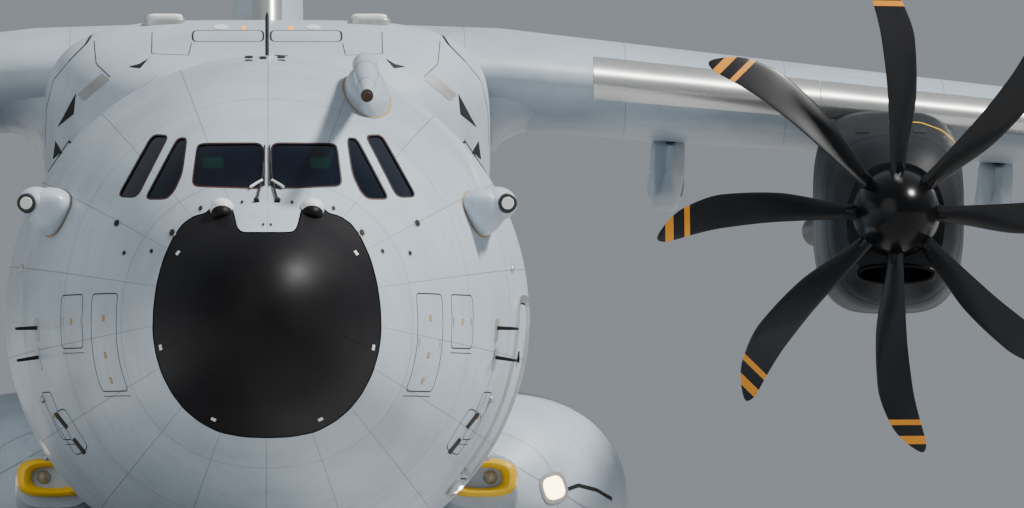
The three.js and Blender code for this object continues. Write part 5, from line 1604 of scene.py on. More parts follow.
@dataclass
class Nacelle:
    """An engine's cowling under the wing: chin intake, exhaust, slots and the yellow line on its shoulder."""

    engine: Engine
    rows: tuple[tuple[float, ...], ...] = (
        (0.3, 0.545, 0.565, -0.8, -0.06, 2.2), (0.7, 0.7, 0.79, -0.96, 0.0, 2.6),
        (1.5, 0.8, 1.01, -1.06, 0.06, 3.0), (2.6, 0.82, 1.18, -1.08, 0.08, 3.5),
        (3.9, 0.81, 1.205, -1.02, 0.1, 3.4), (5.2, 0.7, 1.1, -0.56, 0.3, 2.8),
        (6.15, 0.48, 0.95, 0.06, 0.48, 2.4), (6.95, 0.13, 0.8, 0.54, 0.67, 2.0))
    mouth: tuple[tuple[float, ...], ...] = (
        (0.2, 0.42, -0.575, -0.77, -0.67, 2.6), (1.3, 0.33, -0.6, -0.74, -0.67, 2.6))
    line: tuple[Span, ...] = ((-0.03, 1.05), (0.33, 1.03), (0.55, 0.95), (0.7, 0.84), (0.76, 0.7))
    pipe: tuple[Span, ...] = ((0, 0.085), (0.3, 0.09), (0.33, 0.088), (0.33, 0.078), (0.1, 0.072))

    def build(self) -> None:
        """Make both sides' cowlings and what is on them."""
        e = self.engine
        start, pod, duct = e.station, e.pod(self.rows), e.pod(self.mouth)
        shaft = cylinder((e.x, start, e.z), (e.x, start + 0.8, e.z), 0.124)
        body = Blank(pod.mesh(start + spaced([0.3, 1.5, 6.95], 0.1), 128))
        body.cut(duct.mesh(start + np.linspace(0.2, 1.3, 24), 96), shaft, WING.solid(wing_places(40), -0.01))
        lip = Solid.tube(duct.points(np.linspace(0, 2 * np.pi, 97), np.full(97, start + 0.3)), 0.012, 12)
        vanes = [Solid.box((e.x + x - 0.008, e.x + x + 0.008), (start + 0.5, start + 1.2),
                           (e.z - 0.745, e.z - 0.6))
                 for x in (-0.14, 0.0, 0.14)]
        # Painted shade: the slots are flat dark plaques standing for the shade inside them.
        slots = [plaque(pod, (e.x + x, e.z + 0.93), (0.15, 0.05), (start + 0.1, start + 3.0))
                 for x in (-0.34, 0.3)]
        path = finer(self.line, 0.02) + [e.x, e.z]
        line = ribbon(pod, seen(pod, *path.T, (start + 0.1, start + 2.9)), 0.02)
        around = np.linspace(0, 2 * np.pi, 121)
        seams = [ribbon(pod, pod.points(around, np.full(121, start + s)), 0.008, 0.0008)
                 for s in (0.95, 2.2, 3.6)]
        pipes = []
        for sign in (-1, 1):
            root, way = pod.side_point(start + 4.6, e.z - 0.1, sign), np.array([sign * 0.2, 0.97, -0.06])
            pipes.append(Solid.lathe(self.pipe, root - way * 0.16 - PORT * sign * 0.05, way))
        pair(f"cowling_{e.name}", body.solid(), NACELLE_SKIN, "nacelle_skin", 38, f"nacelle_{e.name}")
        for name, parts, finish in (
                ("intake_lip", lip, SPINNER), ("intake_vanes", vanes, DARK), ("cowling_slots", slots, DARK),
                ("cowling_line", line, YELLOW), ("cowling_seams", seams, DARK), ("exhaust", pipes, NOZZLE)):
            pair(f"{name}_{e.name}", parts, finish, "nacelle_skin")


@dataclass
class Propeller:
    """Eight swept blades round a glossy spinner."""

    engine: Engine
    blades: int = 8
    spinner: float = 0.5
    nose: float = 0.56
    back: float = 0.284
    stripes: tuple[Span, ...] = ((2.28, 2.34), (2.46, 2.55))
    rows: tuple[tuple[float, ...], ...] = (
        (0.4, 0.27, 60, 0, 0.15), (0.8, 0.35, 51, 0.03, 0.08), (1.3, 0.44, 42, 0.06, 0.05),
        (1.9, 0.45, 33, 0.02, 0.032), (2.35, 0.37, 28, -0.11, 0.022), (2.64, 0.17, 25, -0.28, 0.012))

    def blade(self) -> Solid:
        """One blade upwards: sections with a blunt front and a thin rear, twisted, and swept at the tip."""
        table = Table("chord angle sweep thick", self.rows)
        marks = [v for band in self.stripes for v in band]
        out = np.unique(np.append(np.linspace(0.4, 2.6, 40), [*marks, 2.62, 2.635, 2.64]))
        chord, sweep, thick = (table.value(c, out) for c in ("chord", "sweep", "thick"))
        angle = np.radians(table.value("angle", out))[:, None]
        ease = np.sqrt(np.clip(1 - ((out - 2.5) / 0.141) ** 2, 0.02, 1)) * (out > 2.5) + (out <= 2.5)
        turn = turns(24)
        u = (chord * ease / 2)[:, None] * np.cos(turn)
        v = (thick / 2)[:, None] * np.sin(turn) * (0.75 + 0.25 * np.cos(turn))
        aside = sweep[:, None] + u * np.cos(angle) - v * np.sin(angle)
        up = np.broadcast_to(out[:, None], aside.shape)
        return Solid.through(
            np.stack([self.engine.hand * aside, u * np.sin(angle) + v * np.cos(angle), up], axis=-1) * SCALE)

    def build(self) -> None:
        """Make both sides' propellers."""
        e, one = self.engine, self.blade()
        around = turns(self.blades)
        share = np.linspace(0, 1, 33)
        dome = np.stack([self.back - (self.back + self.nose) * share, self.spinner * np.sqrt(1 - share**2.2)],
                        axis=1)
        dome[-1, 1] = 0.0005

        def turned(profile: list[Span], sides: int, way: np.ndarray = AFT) -> Solid:
            """A turned part from a full-size profile."""
            return Solid.lathe(np.array(profile) * SCALE, ORIGIN, way, sides)

        parts = {
            "blades": (Solid.joined([one.turned(AFT, t) for t in around]), BLADE),
            "spinner": (turned([*dome[::-1], (self.back, 0.13)], 80), SPINNER),
            "shaft": (turned([(0.27, 0.12), (0.78, 0.12)], 40), CHROME),
            "joint": (turned([(0.11, 0.5035), (0.118, 0.5045), (0.126, 0.5035)], 96), DARK),
            "cuffs": (Solid.joined([
                turned([(0.41, 0.085), (0.47, 0.09), (0.56, 0.07)], 32,
                       np.array([math.sin(t), 0, math.cos(t)]))
                for t in around]), SPINNER)}
        centre = place(e.x, e.station, e.z)
        for side in BOTH:
            body = f"propeller_{e.name}_{side.word}"
            for part, (solid, finish) in parts.items():
                made = piece(f"{part}_{e.name}_{side.word}", solid.moved(centre).on(side), finish,
                             "blade_composite", body, body if part == "blades" else None, 40)
                if part == "blades":
                    self.stripe(made, centre * [side.value, 1, 1])

    def stripe(self, made: bpy.types.Object, centre: np.ndarray) -> None:
        """Paint the tip bands: the faces whose height along their own blade lies in a band."""
        arm = middles(made) - centre
        pitch = 2 * np.pi / self.blades
        off = (np.arctan2(arm[:, 0], arm[:, 2]) + pitch / 2) % pitch - pitch / 2
        out = np.hypot(arm[:, 0], arm[:, 2]) * np.cos(off) / SCALE
        repaint(made, STRIPE, sum(((out > a) & (out < b)) for a, b in self.stripes))


@dataclass
class Wheel:
    """Twin wheels on one axle: tyres with grooves, dished hubs with bolts, and the axle."""

    radius: float
    width: float
    apart: float
    tread: tuple[Span, ...] = (
        (0.62, 0.53), (0.78, 0.56), (0.97, 0.68), (1.0, 0.76), (0.95, 0.88), (0.82, 0.955), (0.66, 0.985),
        (0.52, 0.996), (0.5, 0.996), (0.48, 0.972), (0.42, 0.972), (0.4, 0.999), (0.17, 1.0), (0.15, 0.975),
        (0.09, 0.975), (0.07, 1.0))
    hub: tuple[Span, ...] = (
        (-0.6, 0.12), (-0.62, 0.5), (-0.7, 0.55), (-0.66, 0.57), (0.66, 0.57), (0.7, 0.55), (0.5, 0.5),
        (0.28, 0.44), (0.2, 0.3), (0.34, 0.22), (0.42, 0.17), (0.44, 0.14))
    cap: tuple[Span, ...] = ((0.3, 0.13), (0.52, 0.12), (0.56, 0.06))
    bolt: tuple[Span, ...] = ((0.15, 0.03), (0.36, 0.03), (0.38, 0.02))

    def build(self, name: str, body: str, station: float, x: float, side: Side) -> None:
        """Make the wheels on one side: tyres, hubs, bolts and axle.

        Args:
            name: how the pieces' names start.
            body: the body that they ride on, whose node the tyres stand for.
            station: the axle's station.
            x: the middle of the axle on the port side.
            side: which side they are on.
        """
        centre = place(x, station, self.radius)
        size = np.array([self.width / 2, self.radius]) * SCALE
        tread = [(-a, b) for a, b in self.tread] + list(self.tread[::-1])
        tyres, hubs, bolts = [], [], []
        for sign in (-1, 1):
            way = PORT * sign
            middle = centre + way * self.apart / 2 * SCALE
            tyres.append(Solid.lathe(tread * size, middle, PORT, 72))
            hubs += [Solid.lathe(self.hub * size, middle, way, 72),
                     Solid.lathe(self.cap * size, middle, way, 32)]
            bolts += [Solid.lathe(self.bolt * size * [1, 1 / self.radius], spot, way, 10)
                      for spot in middle + ring(way, 12) * 0.37 * self.radius * SCALE]
        half = self.apart / 2 * SCALE
        axle = [Solid.lathe([(-half, 0.07 * SCALE), (half, 0.07 * SCALE)], centre, PORT, 32)]
        for part, solids, finish in (("tyres", tyres, TYRE), ("hubs", hubs, HUB), ("bolts", bolts, CHROME),
                                     ("axle", axle, CHROME)):
            first = part == "tyres"
            piece(f"{name}_{part}", Solid.joined(solids).on(side), finish, "tyre_rubber" if first else STEEL,
                  body,
                  body if first else None, 28)


@dataclass
class LandingGear:
    """Three main axles in each sponson and a steering nose leg."""

    axles: Spot = (18.5, 20.1, 21.7)
    main: Wheel = field(default_factory=lambda: Wheel(0.545, 0.4, 0.86))
    nose: Wheel = field(default_factory=lambda: Wheel(0.43, 0.27, 0.64))
    main_x: float = 3.15
    nose_station: float = 4.9
    main_top: float = 1.349
    nose_top: float = 1.269
    joint: float = 0.96

    def hose(self, points: list[Spot]) -> Solid:
        """A hose through full-size points, rounded by a Catmull-Rom curve."""
        p = np.array([points[0], *points, points[-1]], float)
        t = np.linspace(0, 1, 9)[:-1, None]
        parts = [
            0.5 * (2 * b + (c - a) * t + (2 * a - 5 * b + 4 * c - d) * t**2 + (3 * b - 3 * c + d - a) * t**3)
            for a, b, c, d in zip(p[:-3], p[1:-2], p[2:-1], p[3:])]
        return Solid.tube(place(*np.vstack([*parts, p[-1:]]).T), 0.012 * SCALE, 10)

    def hub_block(self, x: float, station: float, z: float, half: float = 0.15) -> Solid:
        """The hub that the axle turns in: a short thick ring."""
        profile = np.array([(-half, 0.076), (-half, 0.12), (0.02 - half, 0.13), (half - 0.02, 0.13),
                            (half, 0.12), (half, 0.076)])
        circle = ring(PORT, 48)
        return Solid.hoop([place(x, station, z) + (a * PORT + b * circle) * SCALE for a, b in profile])

    def main_legs(self) -> None:
        """The main legs: a beam, and at each axle a strut, bright rod, drag arm, hose and hub block."""
        x, r, top = self.main_x, self.main.radius, self.main_top
        painted = [Solid.box((x - 0.15, x + 0.15), (self.axles[0] - 0.65, self.axles[2] + 0.25),
                             (top - 0.11, top))]
        bright, hoses = [], []
        for s in self.axles:
            rods = [(-0.026, top - 0.08, -0.01, r + 0.34, 0.095), (-0.012, r + 0.36, -0.01, r + 0.3, 0.11),
                    (-0.56, top - 0.08, -0.04, r + 0.06, 0.055)]
            rods += [(-0.016, z, -0.016, z + 0.025, 0.103) for z in (r + 0.42, r + 0.62)]
            painted += [cylinder((x, s + a, low), (x, s + b, high), radius)
                        for a, low, b, high, radius in rods]
            painted += [cross_rod(x, 0.08, s - 0.54, top - 0.1, 0.075), self.hub_block(x, s, r)]
            bright.append(cylinder((x, s - 0.01, r + 0.34), (x, s, r), 0.07))
            hoses.append(self.hose([(x + 0.1, s + 0.02, top - 0.1), (x + 0.14, s + 0.06, r + 0.5),
                                    (x + 0.12, s + 0.1, r + 0.25), (x + 0.1, s + 0.04, r + 0.1)]))
        pair("main_leg", painted, GEAR, STEEL, node="main_legs")
        pair("main_rods", bright, CHROME, STEEL)
        pair("main_hoses", hoses, DARK, STEEL)

    def nose_leg(self) -> None:
        """The fixed part of the nose leg with its brace, and the part that steers."""
        s, r, top, joint = self.nose_station, self.nose.radius, self.nose_top, self.joint
        leg = [
            cylinder((0, s, top), (0, s, joint + 0.001), 0.12),
            Solid.box((-0.3, 0.3), (s - 0.17, s + 0.17), (top - 0.07, top)),
            cylinder((0, s + 0.78, top - 0.075), (0, s + 0.09, joint + 0.06), 0.05),
            Solid.box((-0.2, 0.2), (s + 0.7, s + 0.86), (top - 0.06, top)),
            cross_rod(0, 0.16, s, top - 0.11, 0.06)]
        fork = [cylinder((0, s, joint - 0.001), (0, s, joint - 0.09), 0.15), self.hub_block(0, s, r, 0.12),
                cylinder((0, s, r + 0.08), (0, s, r + 0.2), 0.1),
                cylinder((0, s - 0.1, joint - 0.08), (0, s - 0.3, 0.72), 0.028),
                cylinder((0, s - 0.3, 0.72), (0, s - 0.1, r + 0.12), 0.028),
                cross_rod(0, 0.05, s - 0.3, 0.72, 0.035)]
        piece("nose_leg_fixed", Solid.joined(leg), GEAR, STEEL, node="nose_leg")
        piece("nose_fork_frame", Solid.joined(fork), GEAR, STEEL, "nose_fork", "nose_fork")
        rod = cylinder((0, s, joint - 0.08), (0, s, r + 0.1), 0.075)
        piece("nose_fork_rod", rod, CHROME, STEEL, "nose_fork")

    def build(self) -> None:
        """Make the legs and the wheels."""
        self.main_legs()
        self.nose_leg()
        for side in BOTH:
            for name, axle in zip(("front", "middle", "rear"), self.axles):
                body = f"main_wheels_{name}_{side.word}"
                self.main.build(f"{body}_set", body, axle, self.main_x, side)
        self.nose.build("nose_wheel_set", "nose_wheels", self.nose_station, 0.0, Side.LEFT)


@dataclass
class Sponson:
    """The fairings of the main gear, with their wheel wells and landing lamps."""

    rows: tuple[tuple[float, ...], ...] = (
        (13.3, 2.3, 0.09, 1.48, 1.3, 1.39, 2.0), (13.7, 2.33, 0.56, 1.9, 1.01, 1.39, 2.0),
        (14.6, 2.4, 1.2, 2.42, 0.72, 1.36, 2.15), (16.2, 2.5, 1.53, 2.6, 0.61, 1.31, 2.3),
        (17.5, 2.5, 1.56, 2.62, 0.6, 1.3, 2.3), (22.6, 2.5, 1.56, 2.62, 0.6, 1.3, 2.3),
        (23.6, 2.43, 1.3, 2.48, 0.74, 1.35, 2.2), (24.5, 2.33, 0.56, 1.95, 1.12, 1.45, 2.0),
        (24.9, 2.3, 0.09, 1.56, 1.4, 1.48, 2.0))
    well: tuple[Span, Span, Span] = ((2.33, 3.83), (17.75, 22.45), (-0.1, 1.35))
    lamp: Span = (3.17, 1.52)
    reach: Span = (12.5, 16.5)
    line: tuple[Span, ...] = ((3.2, 1.46), (3.45, 1.55), (3.66, 1.5), (3.84, 1.4))

    def build(self) -> None:
        """Make both fairings, each with a landing lamp in its nose and a dark line across it."""
        pod = Pod(self.rows)
        made = Blank(pod.mesh(spaced([13.3, 17.5, 22.6, 24.9], 0.1), 144))
        solid = made.cut(Solid.box(*self.well), hull(12.0, 26.0, -0.0005, pitch=0.5)).solid()
        for side in BOTH:
            name = f"sponson_shell_{side.word}"
            shell = piece(name, solid.on(side), SKIN, COMPOSITE, node=f"sponson_{side.word}", degrees=38)
            self.line_well(shell, pod, side)
        rim = plaque(pod, self.lamp, (0.3, 0.34), self.reach, 0.004, 0.006, 0.3, 3)
        glow = plaque(pod, self.lamp, (0.22, 0.25), self.reach, 0.007, 0.006, 0.3, 3)
        points = seen(pod, *finer(self.line, 0.03).T, (12.5, 17.4))
        pair("landing_lamp_rim", rim, HUB, COMPOSITE)
        pair("landing_lamp", glow, LAMP, GLAZING)
        pair("sponson_line", ribbon(pod, points, 0.022, 0.0012), DARK, COMPOSITE)

    def line_well(self, shell: bpy.types.Object, pod: Pod, side: Side) -> None:
        """Paint the wheel well: the faces that lie on its walls or ceiling."""
        middle = middles(shell) * [side.value, 1, 1]
        low, high = np.array(self.well).T
        inside = ((full(middle) > low - 0.003) & (full(middle) < high + 0.003)).all(axis=1)
        repaint(shell, BAY, inside & (np.abs(pod.level(middle) - 1) > 0.01))


@dataclass
class Cockpit:
    """The flight deck's panel under its glare shield, two head-up glasses, and two seats."""

    panel_half: float = 1.15
    panel_station: Span = (2.75, 2.98)
    panel_top: float = 4.33
    seat_x: float = 0.62
    eye_x: float = 0.56
    screens: int = 5

    def cushion(self, x: float, half: float, station: Span, z: Span) -> Solid:
        """A padded block: a superellipse section across, drawn in at both ends."""
        turn, share = turns(48), np.linspace(0, 1, 12)[:, None]
        ease = 1 - 0.22 * (2 * share - 1) ** 8
        aside = bent(np.cos(turn), 5) * half
        along = bent(np.sin(turn), 5) * (station[1] - station[0]) / 2
        return Solid.through(place(x + ease * aside, sum(station) / 2 + ease * along,
                                   z[0] + (z[1] - z[0]) * share))

    def seat(self, name: str, x: float) -> None:
        """A seat's cushions, and the frame with its arm rests."""
        soft = [self.cushion(x, 0.24, (3.5, 4.06), (3.75, 3.88)),
                self.cushion(x, 0.23, (4.0, 4.13), (3.8, 4.54)),
                self.cushion(x, 0.13, (4.02, 4.11), (4.56, 4.76))]
        hard = [cylinder((x, 3.78, DECK_TOP), (x, 3.78, 3.76), 0.11, 0.15),
                cylinder((x, 4.065, 4.5), (x, 4.065, 4.6), 0.02)]
        for out in (x - 0.26, x + 0.26):
            hard.append(Solid.tube(finer(place(out, np.array([4.05, 3.7, 3.62]), [4.02, 4.02, 3.99]), 0.01),
                                   0.018))
        piece(f"{name}_cushions", Solid.joined(soft), CUSHION, TRIM, node=name)
        piece(f"{name}_frame", Solid.joined(hard), PANEL, TRIM)

    def build(self) -> None:
        """Make the panel with its screens, and each seat with the glass ahead of it."""
        (start, end), top, wide = self.panel_station, self.panel_top, (-self.panel_half, self.panel_half)
        body = sideways(rounded([(start, DECK_TOP), (end, DECK_TOP), (end, 4.2), (start + 0.02, top)], 0.04),
                        wide)
        shield = sideways(rounded(
            [(2.58, 4.33), (3.02, 4.32), (3.02, 4.36), (2.8, top + 0.06), (2.58, top + 0.05)], 0.03), wide)
        panel = Blank(body).join(shield).keep(hull(2.0, 4.0, WALL + 0.06, 128, 0.1))
        piece("panel_board", panel, PANEL, TRIM, node="instrument_panel")
        pitch = 1.9 / self.screens
        glass = [Solid.box((x - pitch * 0.42, x + pitch * 0.42), (end - 0.004, end + 0.004), (3.93, 4.17))
                 for x in (np.arange(self.screens) - (self.screens - 1) / 2) * pitch]
        piece("panel_screens", Solid.joined(glass), SCREEN, TRIM)
        for name, sign in (("pilot_seat", 1), ("copilot_seat", -1)):
            self.seat(name, sign * self.seat_x)
            x = sign * self.eye_x
            # The head-up glass's green glow is a painted glint, not a lamp.
            head_up = across(rounded(box_outline(x, 4.88, 0.22, 0.12), 0.04), (3.0, 3.012))
            piece(f"{name}_head_up_glass", head_up, HEAD_UP_GLINT, GLAZING)
            piece(f"{name}_head_up_post", cylinder((x, 3.0, 4.93), (x, 3.0, 5.06), 0.02, 0.03), PANEL, TRIM)


@dataclass
class Probe:
    """The refuelling probe to port of the crown: nozzle, tapered tube and the blister it grows out of."""

    tip: Spot = (1.04, 1.45, 5.54)
    tail: Spot = (1.04, 5.0, 5.96)
    profile: tuple[Span, ...] = (
        (0, 0.02), (0.004, 0.045), (0.028, 0.05), (0.03, 0.066), (0.05, 0.066), (0.052, 0.056), (0.1, 0.058),
        (0.34, 0.088), (0.55, 0.118), (0.72, 0.134), (1, 0.138), (1.07, 0.12), (1.14, 0.07), (1.17, 0.01))
    blister: Spot = (1.04, 5.3, 5.56)
    radii: Spot = (0.26, 1.35, 0.42)

    def build(self) -> None:
        """Make the tube, its nozzle and its blister with the bead of sealant round it."""
        start, end = place(*self.tip), place(*self.tail)
        span = float(np.linalg.norm(end - start))
        profile = np.array(self.profile) * [span, SCALE]
        tube = Blank(Solid.lathe(profile[5:], start, end - start, 72))
        tube.join(ellipsoid(self.blister, self.radii, 96)).cut(hull(2.0, 8.0, 0.02, 192, 0.1))
        piece("probe_tube", tube, PLAIN_SKIN, COMPOSITE, node="refuelling_probe", degrees=40)
        piece("probe_nozzle", Solid.lathe(profile[:6], start, end - start, 48), NOZZLE, COMPOSITE)
        grown = ellipsoid(self.blister, tuple(r + 0.022 for r in self.radii), 96)
        piece("probe_bead", bead_of(grown, (2.0, 8.0)), TAN, COMPOSITE)
        joints = [Solid.lathe([(d * span, r * SCALE), (d * span + 0.004, r * SCALE)], start, end - start, 64)
                  for d, r in ((0.34, 0.0905), (0.72, 0.1365))]
        piece("probe_joints", Solid.joined(joints), DARK, COMPOSITE)


@dataclass
class NoseDetails:
    """The small pieces on the nose: bumps, ports, wipers, side domes, antennas and air-data probes."""

    reach: Span = (0.3, 9.0)
    ports: tuple[Spot, ...] = (
        (0.69, 4.385, 0.05), (0.26, 4.446, 0.035), (0.985, 4.13, 0.07), (1.2, 3.94, 0.045),
        (1.49, 3.93, 0.045),
        (1.57, 4.25, 0.07), (0.04, 4.2, 0.03))
    wipers: tuple[tuple[str, tuple[Span, ...], float, float, int, Finish], ...] = (
        ("arm", ((0.105, 4.455), (0.07, 4.6), (0.045, 4.72), (0.04, 4.86)), 0.012, 0.0055, 12, DARK),
        ("blade", ((0.028, 4.62), (0.026, 5.05)), 0.008, 0.0045, 10, TYRE),
        ("link", ((0.17, 4.585), (0.11, 4.625), (0.05, 4.66)), 0.015, 0.0075, 12, PALE),
        ("spindle", ((0.105, 4.445), (0.1134, 4.465)), 0.006, 0.014, 20, DARK))
    dome: Spot = (2.29, 4.86, 4.44)
    dome_radii: Spot = (0.27, 0.48, 0.225)
    eye: Spot = (2.44, 4.74, 4.49)
    eye_radii: Spot = (0.2, 0.36, 0.18)
    antennas: tuple[tuple[str, float, float, float, Finish], ...] = (
        ("crown", 9.2, 6.12, 0.54, DARK), ("aft_crown", 27.4, 6.1, 0.5, WING_SKIN),
        ("belly", 8.9, 0.6, -0.3, PLAIN_SKIN))

    def bumps(self) -> None:
        """The two half-sunk bumps over the radome: pale behind, dark in front."""
        x, station, z = full(seen(HULL, 0.47, 4.36, self.reach))
        pair("nose_bump", ellipsoid((x, station + 0.03, z + 0.02), (0.125, 0.16, 0.115), 64), PALE)
        lens = ellipsoid((x, station - 0.03, z - 0.03), (0.112, 0.16, 0.1), 64)
        pair("nose_bump_lens", lens, RADOME, "radome_paint")

    def side_domes(self) -> None:
        """The teardrop housings on both flanks, each with a ringed lens that looks ahead."""
        shell = Blank(self.teardrop(0.0)).join(ellipsoid(self.eye, self.eye_radii, 64))
        x, station, z = self.eye
        start, way = place(x + 0.1, station - 0.36, z), np.array([-0.15, 1.0, 0.0])
        pair("side_dome", shell.cut(hull(3.0, 7.0, 0.02, 192, 0.1)).solid(), PLAIN_SKIN)
        pair("side_dome_ring", Solid.lathe([(0, 0.045), (0.004, 0.05), (0.07, 0.055)], start, way, 40), PANEL)
        pair("side_dome_lens", Solid.lathe([(-0.004, 0.03), (0.004, 0.036), (0.02, 0.036)], start, way, 32),
             PALE)
        pair("side_dome_bead", bead_of(self.teardrop(0.014), (3.0, 7.0)).solid(), TAN)

    def teardrop(self, grow: float) -> Solid:
        """The housing: an ellipsoid that is drawn down below its middle, grown by full-size metres."""
        x, station, z = self.dome
        turn, along = turns(72), np.linspace(0.015, 0.985, 36)[:, None]
        ease = np.sqrt(1 - (2 * along - 1) ** 2)
        low = np.clip(-np.sin(turn), 0, None)
        width, span, height = (r + grow for r in self.dome_radii)
        return Solid.through(place(
            x + ease * width * np.cos(turn) * (1 - 0.18 * low), station - span * np.cos(np.pi * along),
            z + ease * height * np.sin(turn) * (1 + 0.28 * low)))

    def air_data(self) -> None:
        """Air-data probes on each flank: plate, swept strut and a tube that points ahead."""
        struts, plates = [], []
        for x, z in ((2.43, 3.18), (2.415, 2.87)):
            root = seen(HULL, x, z, (2.0, 8.4))
            normal = HULL.normals(root)
            plates.append(flank_patch(rounded(box_outline(full(root)[1], z - 0.02, 0.16, 0.24), 0.06), 0.004,
                                      0.008))
            tip = root + normal * 0.11 + AFT * 0.03
            bend = finer(np.array([root - normal * 0.01, root + normal * 0.09, tip, tip + [0.004, -0.03, 0]]),
                         0.004)
            struts += [Solid.tube(bend, np.linspace(0.011, 0.007, len(bend)), 16),
                       Solid.lathe([(-0.02, 0.008), (0.1, 0.007), (0.135, 0.004), (0.14, 0.0015)],
                                   tip, np.array([0.02, -1.0, -0.02]), 20)]
        pair("air_data_plate", plates, HUB)
        pair("air_data_probe", struts, DARK)

    def build(self) -> None:
        """Make every small piece on the nose, and the thin swept antennas on the crown and the belly."""
        self.bumps()
        for x, z, size in self.ports:
            word = round(x * 100)
            for name, wide, high, lift, finish in (
                    ("port_rim", size, size * 1.3, 0.0022, HUB), ("port", size * 0.7, size, 0.0032, DARK)):
                pair(f"{name}_{word}", plaque(HULL, (x, z), (wide, high), self.reach, lift, 0.004, 0.3, 2),
                     finish)
        for name, line, lift, radius, sides, finish in self.wipers:
            points = seen(HULL, *finer(line, 0.02).T, self.reach)
            pair(f"wiper_{name}", Solid.tube(points + HULL.normals(points) * lift, radius, sides), finish)
        self.side_domes()
        self.air_data()
        share, turn = np.linspace(0, 1, 14)[:, None], turns(40)
        ease = np.sqrt(np.clip(1 - np.clip((share - 0.86) / 0.14, 0, 0.985) ** 2, 0, 1))
        aside = 0.028 * ease * np.sin(turn) * (0.65 - 0.35 * np.cos(turn))
        along = 0.34 * share + (0.46 - 0.24 * share) * ease * (1 + np.cos(turn)) / 2
        for name, station, low, up, finish in self.antennas:
            blade = Solid.through(place(aside, station + along, low + up * share))
            piece(f"{name}_antenna", blade, finish, degrees=50)
        piece("crown_antenna_foot", ellipsoid((0.0, 9.5, 6.13), (0.09, 0.46, 0.05), 48), PLAIN_SKIN)


@dataclass
class Flanks:
    """What is drawn on the hull's sides: the door's rim, bright as a painted highlight, access panels,
    latches, steps and cabin ports.

    panels holds each access panel's station, height, width and height of its outline.
    """

    rim: tuple[Span, ...] = ((6.0, 1.44), (7.08, 1.44), (7.08, 3.52), (6.0, 3.52))
    panels: tuple[tuple[float, float, float, float], ...] = (
        (2.63, 3.0, 0.7, 1.02), (3.6, 3.23, 0.7, 0.56), (5.0, 2.25, 0.42, 0.5), (9.6, 2.6, 0.8, 0.6),
        (11.3, 2.2, 0.6, 0.45), (27.6, 3.4, 0.7, 0.5))
    ports: tuple[Span, ...] = ((10.4, 4.0), (12.6, 3.75), (24.2, 3.8), (25.5, 3.05))
    knobs: tuple[Span, ...] = ((2.37, 2.43), (2.37, 1.83), (2.6, 3.82))
    reach: Span = (2.0, 8.4)

    def panel_pieces(self) -> None:
        """The outlines of the access panels, their latches and the sealed screws on them."""
        lines, latches, spots = [], [], []
        for station, z, wide, high in self.panels:
            outline = box_outline(station, z, wide, high)
            lines.append(ribbon(HULL, HULL.side_point(*frame_of(outline, 0.07).T), 0.006, 0.0009))
            lines.append(ribbon(HULL, HULL.side_point(*finer(outline[[0, 1]] - [0, 0.05], 0.03).T), 0.004,
                                0.0009))
            for share in (-0.42, 0.42):
                latches.append(flank_patch(rounded(box_outline(station + share * wide, z, 0.035, 0.09), 0.01),
                                           0.0018))
            for share in (0.25, -0.13, -0.39) if high > 0.8 else (0.0,):
                spots.append(flank_patch(rounded(box_outline(station, z + share * high, 0.07, 0.07), 0.02),
                                         0.0018))
        pair("panel_lines", lines, DARK)
        pair("panel_latches", latches, HUB)
        pair("panel_spots", spots, TAN)

    def build(self) -> None:
        """Make the pieces on both flanks."""
        # Painted highlight: a raised rim of bright bare metal round the crew door stands in for light
        # catching the door's edges.
        rim = ribbon(HULL, HULL.side_point(*frame_of(self.rim, 0.3).T), 0.026, 0.017, 0.02)
        piece("crew_door_rim", rim, EDGE_METAL)
        self.panel_pieces()
        circle = np.stack([np.cos(turns(40)), np.sin(turns(40))], axis=1)
        pair("cabin_port_rims", [flank_patch(circle * 0.19 + port, 0.002) for port in self.ports], SEAL)
        pair("cabin_ports", [flank_patch(circle * 0.14 + port, 0.0032) for port in self.ports], GLASS,
             GLAZING)
        knobs = [ellipsoid(full(seen(HULL, x, z, self.reach)), (0.035, 0.08, 0.045), 24)
                 for x, z in self.knobs]
        pair("flank_knobs", knobs, HUB)
        loop = frame_of(box_outline(2.08, 2.08, 0.16, 0.5, -0.55), 0.05)
        pair("flank_hatch", ribbon(HULL, seen(HULL, *loop.T, self.reach), 0.006, 0.001), DARK)
        pair("flank_clamps", [patch(HULL, box_outline(x, z, 0.2, 0.035, 0.9), self.reach, 0.004)
                              for x, z in ((1.98, 1.93), (2.17, 2.2))], DARK)


